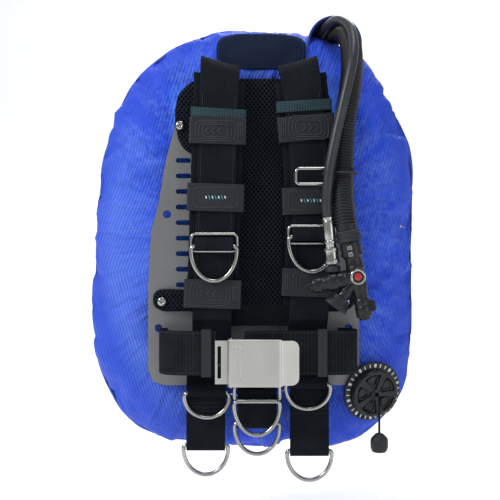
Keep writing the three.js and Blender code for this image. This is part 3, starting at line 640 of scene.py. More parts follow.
def lathe(name: str, profile: Sequence[Point], finish: Finish, matrix: Matrix,
          body: str = HARNESS, segments: int = 40, crisp: float = 0.5,
          wobble: Callable[[float, float, float], float] | None = None) -> bpy.types.Object:
    """A turned piece with slightly rounded edges.

    Args:
        name: The piece's name.
        profile: Radius and height pairs in millimetres.
        finish: What it is made of.
        matrix: Where its own origin and +Z go, in metres.
        body: The CAD body it moves with.
        segments: Facets round it.
        crisp: Size of the rounding at each edge, in millimetres.
        wobble: Gives a radius from radius, height and angle, for knurls and facets.

    Returns:
        The object.
    """
    rounded: list[np.ndarray] = []
    pts = [np.array(p, float) for p in profile]
    for i, p in enumerate(pts):
        if i in (0, len(pts) - 1):
            rounded.append(p)
            continue
        for q in (pts[i - 1], pts[i + 1]):
            reach = np.linalg.norm(q - p)
            rounded.append(p + (q - p) * min(crisp / max(reach, 1e-6), 0.45))
    turns = 2 * math.pi * np.arange(segments) / segments
    verts = []
    for r, z in rounded:
        for a in turns:
            radius = wobble(r, z, a) if wobble else r
            verts.append(matrix @ Vector((radius * math.cos(a) * MM, radius * math.sin(a) * MM,
                                          z * MM)))
    made = piece(name, verts, grid_faces(len(rounded), segments), finish, body)
    outward(made, weld=True, fill=True)
    made.data.set_sharp_from_angle(angle=math.radians(42))
    return made


def hexagon(radius: float, angle: float, share: float) -> float:
    """How far a hexagon's side is at an angle, for a share of the radius across its flats."""
    return radius / math.cos((angle % (math.pi / 3)) - math.pi / 6) * share


def offset(x: float, y: float, z: float) -> Matrix:
    """A move by millimetres, as a matrix."""
    return Matrix.Translation(Vector((x, y, z)) * MM)


def spin(angle: float, axis: str) -> Matrix:
    """A turn about an axis, as a matrix."""
    return Matrix.Rotation(angle, 4, axis)


def aim(origin: Point, direction: Point) -> Matrix:
    """A matrix that puts +Z along a direction at an origin, in metres."""
    twist = Vector((0, 0, 1)).rotation_difference(Vector(direction))
    return Matrix.Translation(Vector(origin)) @ twist.to_matrix().to_4x4()


def slab(name: str, outline: Sequence[Point], depth: float, finish: Finish, matrix: Matrix,
         body: str = HARNESS, bevel: float = 0.4, segments: int = 2) -> bpy.types.Object:
    """A flat outline given depth and rounded edges.

    Args:
        name: The piece's name.
        outline: Points of it in millimetres, in its own X and Y.
        depth: Thickness along its own +Z, in millimetres.
        finish: What it is made of.
        matrix: Where it goes, in metres.
        body: The CAD body it moves with.
        bevel: Rounding in millimetres.
        segments: Facets across the rounding.

    Returns:
        The object.
    """
    n = len(outline)
    verts = [matrix @ Vector((x * MM, y * MM, level * MM)) for level in (0, depth)
             for x, y in outline]
    faces = [tuple(range(n - 1, -1, -1)), tuple(range(n, 2 * n))]
    faces += [(i, (i + 1) % n, n + (i + 1) % n, n + i) for i in range(n)]
    made = piece(name, verts, faces, finish, body)
    outward(made)
    soften(made, bevel, segments)
    return made


def soften(made: bpy.types.Object, width: float, segments: int = 2,
           angle: float = 32) -> None:
    """Rounds a piece's edges that are sharper than an angle, by a width in millimetres."""
    rounding = made.modifiers.new("rounding", "BEVEL")
    rounding.width = width * MM
    rounding.segments = segments
    rounding.limit_method = "ANGLE"
    rounding.angle_limit = math.radians(angle)
    rounding.harden_normals = False
    made.data.polygons.foreach_set("use_smooth", [True] * len(made.data.polygons))
    made.data.set_sharp_from_angle(angle=math.radians(angle + 12))


def rounded_outline(width: float, height: float, radius: float, steps: int = 6) -> list[Point]:
    """A rounded rectangle about the origin, in the units given."""
    points = []
    for k, (sx, sy) in enumerate(((1, 1), (-1, 1), (-1, -1), (1, -1))):
        for i in range(steps + 1):
            a = (k + i / steps) * math.pi / 2
            points.append((sx * (width / 2 - radius) + radius * math.cos(a),
                           sy * (height / 2 - radius) + radius * math.sin(a)))
    return points


@dataclass
class Ribbon:
    """A strap or flat pad: a rounded section carried along a smooth side view."""

    name: str
    path: Sequence[Point]
    thickness: float
    width: float
    lay: Callable[[float, float, float], Point]
    finish: Finish
    steps: int = 90
    edge: float = 0.45
    crown: float = 0.0
    body: str = HARNESS
    ripple: float = 0.12

    def section(self) -> list[Point]:
        """Across and out offsets round the strip's section, in millimetres."""
        half, thick = self.width / 2, self.thickness / 2
        radius = self.edge * self.thickness
        flats = np.linspace(-half + radius, half - radius, 15)
        top = [(a, thick + self.crown * (1 - (a / half) ** 2)) for a in flats]
        low = [(a, -b) for a, b in top[::-1]]
        right = [(half - radius + radius * math.cos(t), thick * math.sin(t))
                 for t in np.linspace(math.pi / 2, -math.pi / 2, 7)[1:-1]]
        left = [(-x, -y) for x, y in right]
        return top + right + low + left

    def build(self) -> bpy.types.Object:
        """Makes the strip."""
        line = uniform_spline(np.array(self.path, float), self.steps)
        gone = distances(line)
        section = self.section()
        verts, uvs = [], []
        for far, middle, along in zip(gone, line, tangents(line)):
            wave = (self.ripple * math.sin(far * 0.11 + 1.3)
                    + self.ripple * 0.6 * math.sin(far * 0.29))
            for across, out in section:
                a = middle[0] - along[1] * out
                b = middle[1] + along[0] * out
                sway = wave if abs(across) > self.width * 0.45 else 0
                verts.append(Vector(self.lay(across + math.copysign(sway, across), a, b)) * MM)
                uvs.append((far * MM, (across + self.width) * MM))
        n = len(section)
        faces = grid_faces(len(line), n)
        faces += [tuple(range(n)), tuple(range(len(verts) - 1, len(verts) - n - 1, -1))]
        made = piece(self.name, verts, faces, self.finish, self.body, uvs=np.array(uvs))
        outward(made)
        return made

    @cached_property
    def fine(self) -> np.ndarray:
        """The strip's side view as close, evenly spaced points."""
        return uniform_spline(np.array(self.path, float), self.steps * 2)

    def place(self, along: float, across: float, lift: float) -> tuple[Vector, Vector, Vector]:
        """A spot on the strip.

        Args:
            along: Share of the strip's length.
            across: Offset from its middle in millimetres.
            lift: Height over its face in millimetres, less than 0 for the other face.

        Returns:
            The point, the direction along, and the direction out, in metres.
        """
        line = self.fine
        i = int(np.clip(round(along * (len(line) - 1)), 1, len(line) - 2))
        t = (line[i + 1] - line[i - 1]) / np.linalg.norm(line[i + 1] - line[i - 1])
        out = math.copysign(self.thickness / 2 + self.crown + abs(lift), lift)

        def lift_point(m: np.ndarray, o: float) -> Vector:
            return Vector(self.lay(across, m[0] - t[1] * o, m[1] + t[0] * o)) * MM

        here = lift_point(line[i], out)
        ahead = lift_point(line[i] + t, out)
        base = lift_point(line[i], 0)
        return here, (ahead - here).normalized(), (here - base).normalized()


def stitches(name: str, spots: Iterable[tuple[Vector, Vector, Vector]], finish: Finish,
             body: str = HARNESS, length: float = 2.2, thick: float = 0.55) -> bpy.types.Object:
    """Rows of sewn stitches as small domed threads in one mesh.

    Args:
        name: The piece's name.
        spots: Place, direction of the thread, and direction out, of each stitch.
        finish: The thread's finish.
        body: The CAD body they move with.
        length: Of one stitch, in millimetres.
        thick: The thread's thickness in millimetres.

    Returns:
        The object.
    """
    verts: list[Vector] = []
    faces: list[tuple[int, ...]] = []
    shares = (-0.5, -0.32, 0, 0.32, 0.5)
    for at, along, out in spots:
        side = along.cross(out).normalized()
        start = len(verts)
        for s in shares:
            rise = 1 - (2 * s) ** 2
            r = thick * MM * (0.28 + 0.24 * rise)
            centre = at + along * (s * length * MM) + out * (thick * MM * 0.35 * rise)
            verts += [centre + side * (r * math.cos(t)) + out * (r * math.sin(t))
                      for t in (2 * math.pi * k / 6 for k in range(6))]
        faces += grid_faces(len(shares), 6, start=start)
        faces.append(tuple(range(start, start + 6)))
        faces.append(tuple(range(start + 29, start + 23, -1)))
    made = piece(name, verts, faces, finish, body)
    outward(made)
    return made


# ---- cloth ----
def pressed_cloth(made: bpy.types.Object, **settings: object) -> bpy.types.Modifier:
    """Puts weightless cloth under air pressure on a piece, with more settings by name."""
    cloth = made.modifiers.new("pressed", "CLOTH")
    cloth.settings.quality = 4
    cloth.settings.use_pressure = True
    cloth.settings.effector_weights.gravity = 0
    for key, value in settings.items():
        setattr(cloth.settings, key, value)
    return cloth


def settle(made: bpy.types.Object, cloth: bpy.types.Modifier, cap: float,
           low: Point | float = -math.inf, high: Point | float = math.inf) -> float:
    """Runs a piece's cloth and keeps where it comes to rest.

    Args:
        made: The piece.
        cloth: Its cloth, which is taken off afterwards.
        cap: The most that a point may move, in metres.
        low: The lowest corner it may reach.
        high: The highest corner it may reach.

    Returns:
        The largest move before the cap.
    """
    scene = bpy.context.scene
    start = corners(made.data)
    for number in range(1, CLOTH_FRAMES + 1):
        scene.frame_set(number)
    seen = made.evaluated_get(bpy.context.evaluated_depsgraph_get())
    move = corners(seen.data) - start
    made.modifiers.remove(cloth)
    scene.frame_set(1)
    size = np.linalg.norm(move, axis=1, keepdims=True)
    move *= np.minimum(1, cap / np.maximum(size, 1e-9))
    made.data.vertices.foreach_set("co", np.clip(start + move, low, high).ravel())
    made.data.update()
    return float(size.max())


# ---- air cell and hood ----
WING_OUTLINE = [
    (0, 0.998), (-0.268, 0.984), (-0.491, 0.918), (-0.72, 0.782), (-0.847, 0.614),
    (-0.929, 0.434), (-0.983, 0.134), (-1, -0.16), (-0.998, -0.452), (-0.968, -0.632),
    (-0.783, -0.874), (-0.526, -0.962), (-0.219, -0.987), (0.097, -0.995), (0.229, -0.969),
    (0.414, -0.995), (0.633, -0.973), (0.847, -0.83), (0.959, -0.672), (0.998, -0.452),
    (1, -0.086), (0.988, 0.423), (0.842, 0.672), (0.696, 0.863), (0.487, 0.947), (0.268, 0.987),
]


@dataclass
class AirCell:
    """The inflated wing: a pressed and puckered shell between its two seams."""

    steps: int = 250
    sides: int = 56
    panel: tuple[float, float] = (62, 208)
    front: float = 33
    back: float = 70
    seam_depth: float = 21.5
    inset: float = 0.6
    proud: float = 5.5
    swell: float = 0.0055
    tucks: Sequence[Point] = ((23, 1.0), (41, 0.8), (67, 0.5), (97, 0.3))
    rolls: Sequence[int] = (5, 8, 11, 15)
    outline: np.ndarray = field(init=False)
    width: float = field(init=False)
    height: float = field(init=False)
    middle: float = field(init=False)

    def __post_init__(self) -> None:
        """Takes the wing's size from its CAD node."""
        low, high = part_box("wing_outer_shell")
        self.width, self.height = (high.x - low.x) / MM, (high.z - low.z) / MM
        self.middle = (high.z + low.z) / 2 / MM
        self.outline = catmull(np.array(WING_OUTLINE, float), True, 40)

    def seams(self, u: float) -> tuple[np.ndarray, np.ndarray, float]:
        """Inner and outer seam points in X and Z, and the angle, at a share of the way round."""
        at = u * len(self.outline)
        i = int(at) % len(self.outline)
        here, ahead = self.outline[i], self.outline[(i + 1) % len(self.outline)]
        share = here + (ahead - here) * (at % 1)
        angle = math.atan2(share[1], share[0])
        inner = np.array([self.panel[0] * squarish(math.cos(angle), 0.42),
                          self.middle + self.panel[1] * squarish(math.sin(angle), 0.42)])
        outer = np.array([share[0] * self.width / 2, self.middle + share[1] * self.height / 2])
        outer += (outer - inner) / np.linalg.norm(outer - inner) * self.proud
        return inner, outer, angle

    def point(self, u: float, v: float, inset: float = 0) -> np.ndarray:
        """A point on the cell, in millimetres."""
        inner, outer, angle = self.seams(u)
        turn = 2 * math.pi * v
        length = np.linalg.norm(outer - inner)
        across = 0.5 + (0.5 - inset / length) * math.cos(turn)
        flat = inner + (outer - inner) * across
        ends = math.sin(angle) ** 2
        side = math.sin(turn)
        bulge = (self.back - 28 * ends if side > 0 else self.front - 11 * ends) - inset
        y = -1.5 + self.seam_depth * across + side * bulge
        return np.array([flat[0], y, flat[1]])

    def folds(self) -> np.ndarray:
        """How far each grid point is tucked in or out, in millimetres."""
        rng = np.random.default_rng(7)
        around = np.arange(self.steps) / self.steps * 2 * math.pi
        waves = np.zeros((3, self.steps))
        for wave in waves:
            for n, size in self.tucks:
                wave += size * np.sin(n * around + rng.uniform(0, 2 * math.pi))
        v = np.arange(self.sides) / self.sides
        turn = np.cos(2 * math.pi * v)
        near_outer = np.clip((turn - 0.45) / 0.5, 0, 1) * np.clip((1.0 - turn) / 0.06, 0.12, 1)
        near_inner = np.clip((-turn - 0.5) / 0.45, 0, 1) * np.clip((1.0 + turn) / 0.06, 0.12, 1)
        drift = rng.uniform(-0.3, 0.3, len(self.rolls))
        depth = 1.7 * waves[0][:, None] * near_outer + 1.5 * waves[1][:, None] * near_inner
        for k, n in enumerate(self.rolls):
            depth += 0.55 * np.sin(n * around[:, None] + 6 * drift[k] + (3 + k) * 2 * math.pi * v)
        return np.maximum(depth, -0.8) + 0.3

    def build(self) -> bpy.types.Object:
        """Makes the shell, blows it up against its seams, and puckers it."""
        rows, cols = self.steps, self.sides
        base = np.array([[self.point(i / rows, j / cols, self.inset) for j in range(cols)]
                         for i in range(rows)])
        verts = (base + self.normals(base) * self.folds()[:, :, None]).reshape(-1, 3) * MM
        made = piece("wing_shell", verts, grid_faces(rows, cols, True), Finish.WING)
        outward(made)
        fit(made, "wing_nylon", "wing_outer_shell")
        self.bladder()
        self.inflate(made)
        return made

    def bladder(self) -> None:
        """Makes the welded film bladder that lies slack inside the shell."""
        rows, cols = 120, 24
        verts = [self.point(i / rows, j / cols, 8 + 0.8 * math.sin(i * 0.8 + j * 0.5))
                 for i in range(rows) for j in range(cols)]
        made = piece("film_bladder", millimetres(verts), grid_faces(rows, cols, True), Finish.FILM)
        outward(made)
        fit(made, "bladder_film", "wing_bladder")

    def normals(self, base: np.ndarray) -> np.ndarray:
        """Outward directions over the grid of points."""
        along = np.roll(base, -1, 0) - np.roll(base, 1, 0)
        across = np.roll(base, -1, 1) - np.roll(base, 1, 1)
        out = np.cross(across, along)
        size = np.linalg.norm(out, axis=2, keepdims=True)
        out = out / np.maximum(size, 1e-9)
        centre = base.mean(axis=1, keepdims=True)
        if ((base - centre) * out).sum() < 0:
            out = -out
        return out

    def inflate(self, made: bpy.types.Object) -> None:
        """Runs cloth with pressure between the pinned seams, then caps how far it moved."""
        pins = made.vertex_groups.new(name="seams")
        seams = (0, self.sides // 2)
        pins.add([i for i in range(len(made.data.vertices)) if i % self.sides in seams], 1.0,
                 "REPLACE")
        cloth = pressed_cloth(made, mass=0.3, tension_stiffness=25, compression_stiffness=25,
                              shear_stiffness=8, bending_stiffness=0.4, shrink_min=-0.045,
                              shrink_max=-0.045, uniform_pressure_force=3.0,
                              vertex_group_mass="seams")
        cloth.collision_settings.use_collision = False
        most = settle(made, cloth, self.swell)
        LOG.info("air cell settled, largest move %.1f mm", most / MM)

    def piping(self) -> None:
        """Makes the corded outer seam."""
        line = []
        for i in range(360):
            inner, outer, _ = self.seams(i / 360)
            heading = (outer - inner) / np.linalg.norm(outer - inner)
            lump = 0.6 * math.sin(i * 0.9) + 0.4 * math.sin(i * 2.3)
            spot = outer + heading * (0.1 + lump * 0.4)
            line.append((spot[0], 20 + 0.8 * math.sin(i * 0.7), spot[1]))
        tube("wing_piping", millimetres(line), 1.2 * MM, Finish.PIPING, sides=10,
                     closed=True)


@dataclass
class Surface:
    """A look-up of how deep a made surface lies."""

    tree: BVHTree

    @classmethod
    def of(cls, made: bpy.types.Object) -> "Surface":
        """The look-up of one piece."""
        verts = corners(made.data).tolist()
        return cls(BVHTree.FromPolygons(verts, [tuple(p.vertices) for p in made.data.polygons]))

    def front(self, x: float, z: float) -> tuple[Vector, Vector] | None:
        """The foremost point and its outward direction at X and Z in millimetres."""
        at, normal, _, _ = self.tree.ray_cast(Vector((x * MM, -0.5, z * MM)), Vector((0, 1, 0)))
        if at is None:
            return None
        return at, (-normal if normal.y > 0 else normal)


@dataclass
class Hood:
    """The fabric tunnel that both hoses pass through, with a turned front lip."""

    centre: tuple[float, float] = (108, 254)
    radius: float = 35.2
    front: float = -4
    back: float = 40
    leg: float = 36
    steps: int = 46

    def arch(self, radius: float, count: int) -> list[tuple[float, float]]:
        """Points over the arch, from its right leg to its left, in X and Z."""
        x, z = self.centre
        points = [(x + radius, z - self.leg + self.leg * i / 6) for i in range(6)]
        points += [(x + radius * math.cos(a), z + radius * math.sin(a))
                   for a in np.linspace(0, math.pi, count)]
        points += [(x - radius, z - self.leg * i / 6) for i in range(1, 7)]
        return points

    def build(self) -> None:
        """Makes the tunnel, its lip and its stitches."""
        depths = np.linspace(self.front + 1, self.back, 22)
        verts = []
        for radius, levels in ((self.radius, depths), (self.radius - 1.0, depths[::-1])):
            ring = self.arch(radius, self.steps)
            for y in levels:
                sink = 1 - 0.012 * max(0, (y - 10)) * 0.4
                for i, (x, z) in enumerate(ring):
                    ruck = 0.7 * math.sin(i * 0.9 + y * 0.2) + 0.5 * math.sin(i * 0.37 + y * 0.55)
                    dx, dz = x - self.centre[0], z - self.centre[1]
                    scale = sink * (1 + ruck / 90) - 0.01
                    verts.append((self.centre[0] + dx * scale, y, self.centre[1] + dz * scale))
        rows, n = 2 * len(depths), len(ring)
        faces = grid_faces(rows, n, wrap_rows=True, wrap_columns=False)
        for edge in (0, n - 1):
            for k in range(len(depths) - 1):
                quad = (k, k + 1, rows - 2 - k, rows - 1 - k)
                faces.append(tuple(row * n + edge for row in quad))
        made = piece("hood_tunnel", millimetres(verts), faces, Finish.HOOD)
        outward(made)
        fit(made, "wing_nylon", "hose_hood")
        lip = millimetres([(x, self.front + 1.2, z)
                           for x, z in self.arch(self.radius - 0.9, self.steps)])
        tube("hood_lip", lip, 1.7 * MM, Finish.PIPING, sides=12)
        spots = []
        outer = self.arch(self.radius + 0.2, 60)
        for (x1, z1), (x2, z2) in zip(outer, outer[1:]):
            along = Vector((x2 - x1, 0, z2 - z1)).normalized()
            out = Vector((x1 - self.centre[0], 0, z1 - self.centre[1])).normalized()
            spots.append((Vector((x1, self.front + 6, z1)) * MM, along, out))
        stitches("hood_stitches", spots, Finish.BLUE_THREAD)


@dataclass
class WingLabel:
    """The blank oblong patch sewn at the wing's top."""

    wing: Surface
    centre: tuple[float, float] = (10, 241)
    size: tuple[float, float] = (118, 48)
    lift: float = 1.1
    power: float = 0.55
    probes: tuple[float, ...] = (-9, -4.5, 0, 4.5, 9)

    def spot(self, x: float, z: float) -> np.ndarray:
        """A point over the foremost cloth round X and Z in millimetres, as metres."""
        hits = [self.wing.front(x + dx, z + dz) for dx in self.probes for dz in self.probes]
        depths = sorted(hit[0].y for hit in hits if hit)
        return np.array([x * MM, float(np.mean(depths[:6])) if depths else 0.0, z * MM])

    def rim(self, wide: float, tall: float, angle: float) -> np.ndarray:
        """A point at those shares of the patch's half width and height, at an angle round it."""
        return self.spot(self.centre[0] + wide * self.size[0] / 2
                         * squarish(math.cos(angle), self.power),
                         self.centre[1] + tall * self.size[1] / 2
                         * squarish(math.sin(angle), self.power))

    def build(self) -> None:
        """Lays the patch on the wing, with its sewn border."""
        cols, rows = 40, 20
        verts = []
        for level in (self.lift, -2.5):
            for share in (r / rows for r in range(rows + 1)):
                for c in range(cols):
                    at = self.rim(share, share, 2 * math.pi * c / cols)
                    at[1] -= level * MM * (1 if share < 0.97 else 0.5)
                    verts.append(at)
        layer = (rows + 1) * cols
        rim = rows * cols
        faces = grid_faces(rows + 1, cols) + grid_faces(rows + 1, cols, start=layer)
        faces += [(rim + c, rim + (c + 1) % cols, layer + rim + (c + 1) % cols, layer + rim + c)
                  for c in range(cols)]
        made = piece("wing_label", verts, faces, Finish.LABEL)
        outward(made, weld=True)
        spots = []
        for i in range(120):
            start, end = (Vector(self.rim(0.95, 0.93, 2 * math.pi * k / 120)) for k in (i, i + 1))
            if (end - start).length > 1e-4:
                spots.append((start + Vector((0, -self.lift * MM, 0)), (end - start).normalized(),
                              Vector((0, -1, 0))))
        stitches("label_stitches", spots, Finish.BLUE_THREAD)


# ---- plate and back pad ----
SCREWS = ("right_upper", "left_upper", "right_lower", "left_lower")


@dataclass
class PlateAndPad:
    """The steel backplate, its mesh back pad and the pad's four screws."""

    pressure: float = 3.5
    fill: float = 0.003
    voxel: float = 0.0045
    flatten: float = 0.82
    band_z: float = -105.5

    def build(self) -> None:
        """Dresses the plate and makes the pad and the screws."""
        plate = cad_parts["backplate"]
        dress(plate, Finish.PLATE)
        soften(plate, 0.6)
        dress(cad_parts["wing_center_panel"], Finish.WING)
        self.pad()
        self.screws()

    def pad(self) -> None:
        """Puffs the back pad out of its CAD solid and adds the lumbar band."""
        made = bpy.data.objects.new("back_cushion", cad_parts["back_pad"].data.copy())
        bpy.context.scene.collection.objects.link(made)
        outward(made, weld=True)
        remesh = made.modifiers.new("even", "REMESH")
        remesh.mode = "VOXEL"
        remesh.voxel_size = self.voxel
        apply(made)
        points = corners(made.data)
        low, high = points.min(0), points.max(0)
        middle_y = (low[1] + high[1]) / 2
        points[:, 1] = middle_y + (points[:, 1] - middle_y) * self.flatten
        made.data.vertices.foreach_set("co", points.ravel())
        cloth = pressed_cloth(made, uniform_pressure_force=self.pressure)
        settle(made, cloth, self.fill, low, high)
        made.modifiers.new("soft", "SMOOTH").iterations = 3
        finer = made.modifiers.new("finer", "SUBSURF")
        finer.levels = finer.render_levels = 1
        apply(made)
        dress(made, Finish.MESH)
        made.data.polygons.foreach_set("use_smooth", [True] * len(made.data.polygons))
        self.channels(made)
        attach(made, HARNESS)
        fit(made, "pad_mesh", "back_pad")
        path = [(x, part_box("back_pad")[0].y / MM - 0.2) for x in (-74, -40, 0, 40, 74)]
        band = Ribbon("lumbar_band", path, 1.4, 27,
                      lambda across, x, y: (x, y, self.band_z + across), Finish.LUMBAR, 40)
        band.build()

    def channels(self, made: bpy.types.Object) -> None:
        """Presses two long sewn channels and the screw dimples into the pad's face."""
        points = corners(made.data)
        middle = points[:, 1].mean()
        face = points[:, 1] < middle
        for x in (-0.042, 0.042):
            near = np.exp(-((points[:, 0] - x) / 0.0035) ** 2)
            points[:, 1] += face * near * 0.0026
        for place in SCREWS:
            low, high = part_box(f"{place}_pad_screw")
            centre = (low + high) / 2
            far = np.hypot(points[:, 0] - centre.x, points[:, 2] - centre.z)
            points[:, 1] += face * np.exp(-(far / 0.011) ** 2) * 0.0022
        made.data.vertices.foreach_set("co", points.ravel())
        made.data.update()

    def socket(self, radius: float, height: float, angle: float) -> float:
        """The hexagon socket in a screw's head."""
        return radius if radius > 2.5 or height < -3 else hexagon(radius, angle, 0.9)

    def screws(self) -> None:
        """Makes pan-head screws with a hexagon socket."""
        for place in SCREWS:
            node = f"{place}_pad_screw"
            low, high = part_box(node)
            centre = ((low.x + high.x) / 2, low.y, (low.z + high.z) / 2)
            profile = [(0, -2.4), (2.4, -2.4), (2.4, 0), (3.4, 0), (5.2, -0.7), (6.2, -2.6),
                       (6.2, -4), (3, -4), (3, -17), (0, -17)]
            head = lathe(f"{place}_screw", profile, Finish.STEEL, aim(centre, (0, -1, 0)),
                         segments=36, crisp=0.35, wobble=self.socket)
            fit(head, "polished_steel", node)


def apply(made: bpy.types.Object) -> None:
    """Applies every modifier on a piece."""
    seen = made.evaluated_get(bpy.context.evaluated_depsgraph_get())
    made.data = bpy.data.meshes.new_from_object(seen)
    made.modifiers.clear()


def dress(node: bpy.types.Object, finish: Finish) -> None:
    """Gives a piece or a CAD node a finish in place of the one it has."""
    node.data.materials.clear()
    node.data.materials.append(finish.material())


# ---- camera, light and stage ----
@dataclass
class Studio:
    """The camera, the soft lights and the pale backdrop."""

    camera_at: Point = (-0.00455, -1.33, -0.02145)
    lens: float = 72
    floor: float = -0.40
    lights: Sequence[tuple[str, Point, float, float]] = (
        ("key", (-1.5, -1.1, 1.1), 0.7, 24), ("fill", (1.6, -1.5, 0.1), 1.0, 5),
        ("top", (0.1, -0.5, 1.9), 0.8, 11), ("back", (0.3, 1.3, 1.6), 1.2, 34),
    )
    sky: Point = (0.95, 0.97, 1, 1)
    sky_strength: float = 0.42

    def build(self) -> None:
        """Makes them all."""
        camera = bpy.data.cameras.new("camera")
        camera.lens = self.lens
        camera.sensor_width = 36
        holder = bpy.data.objects.new("camera", camera)
        holder.location = self.camera_at
        holder.rotation_euler = (math.pi / 2, 0, 0)
        bpy.context.scene.collection.objects.link(holder)
        bpy.context.scene.camera = holder
        for name, place, size, watts in self.lights:
            self.light(name, place, size, watts)
        world = bpy.data.worlds.new("studio")
        world.use_nodes = True
        sky = world.node_tree.nodes["Background"].inputs
        sky["Color"].default_value = self.sky
        sky["Strength"].default_value = self.sky_strength
        bpy.context.scene.world = world
        bpy.context.scene.view_settings.view_transform = "Standard"
        self.backdrop()

    def light(self, name: str, place: Point, size: float, watts: float) -> None:
        """Adds one square soft light aimed at the object."""
        data = bpy.data.lights.new(name, "AREA")
        data.size = size
        data.energy = watts
        lamp = bpy.data.objects.new(name, data)
        lamp.location = place
        lamp.rotation_euler = (-Vector(place)).to_track_quat("-Z", "Y").to_euler()
        bpy.context.scene.collection.objects.link(lamp)

    def backdrop(self) -> None:
        """Makes one sheet that is floor in front and wall behind."""
        profile = [(-3.2, self.floor), (0.9, self.floor)]
        profile += [(0.9 + 0.9 * math.sin(a), self.floor + 0.9 * (1 - math.cos(a)))
                    for a in np.linspace(0.1, math.pi / 2, 12)]
        profile += [(1.8, 3.2)]
        verts = [(x, y, z) for y, z in profile for x in (-3.5, 3.5)]
        faces = [(2 * i, 2 * i + 1, 2 * i + 3, 2 * i + 2) for i in range(len(profile) - 1)]
        mesh = bpy.data.meshes.new("backdrop")
        mesh.from_pydata(verts, [], faces)
        mesh.polygons.foreach_set("use_smooth", [True] * len(faces))
        mesh.materials.append(Finish.PAPER.material())
        sheet = bpy.data.objects.new("backdrop", mesh)
        bpy.context.scene.collection.objects.link(sheet)


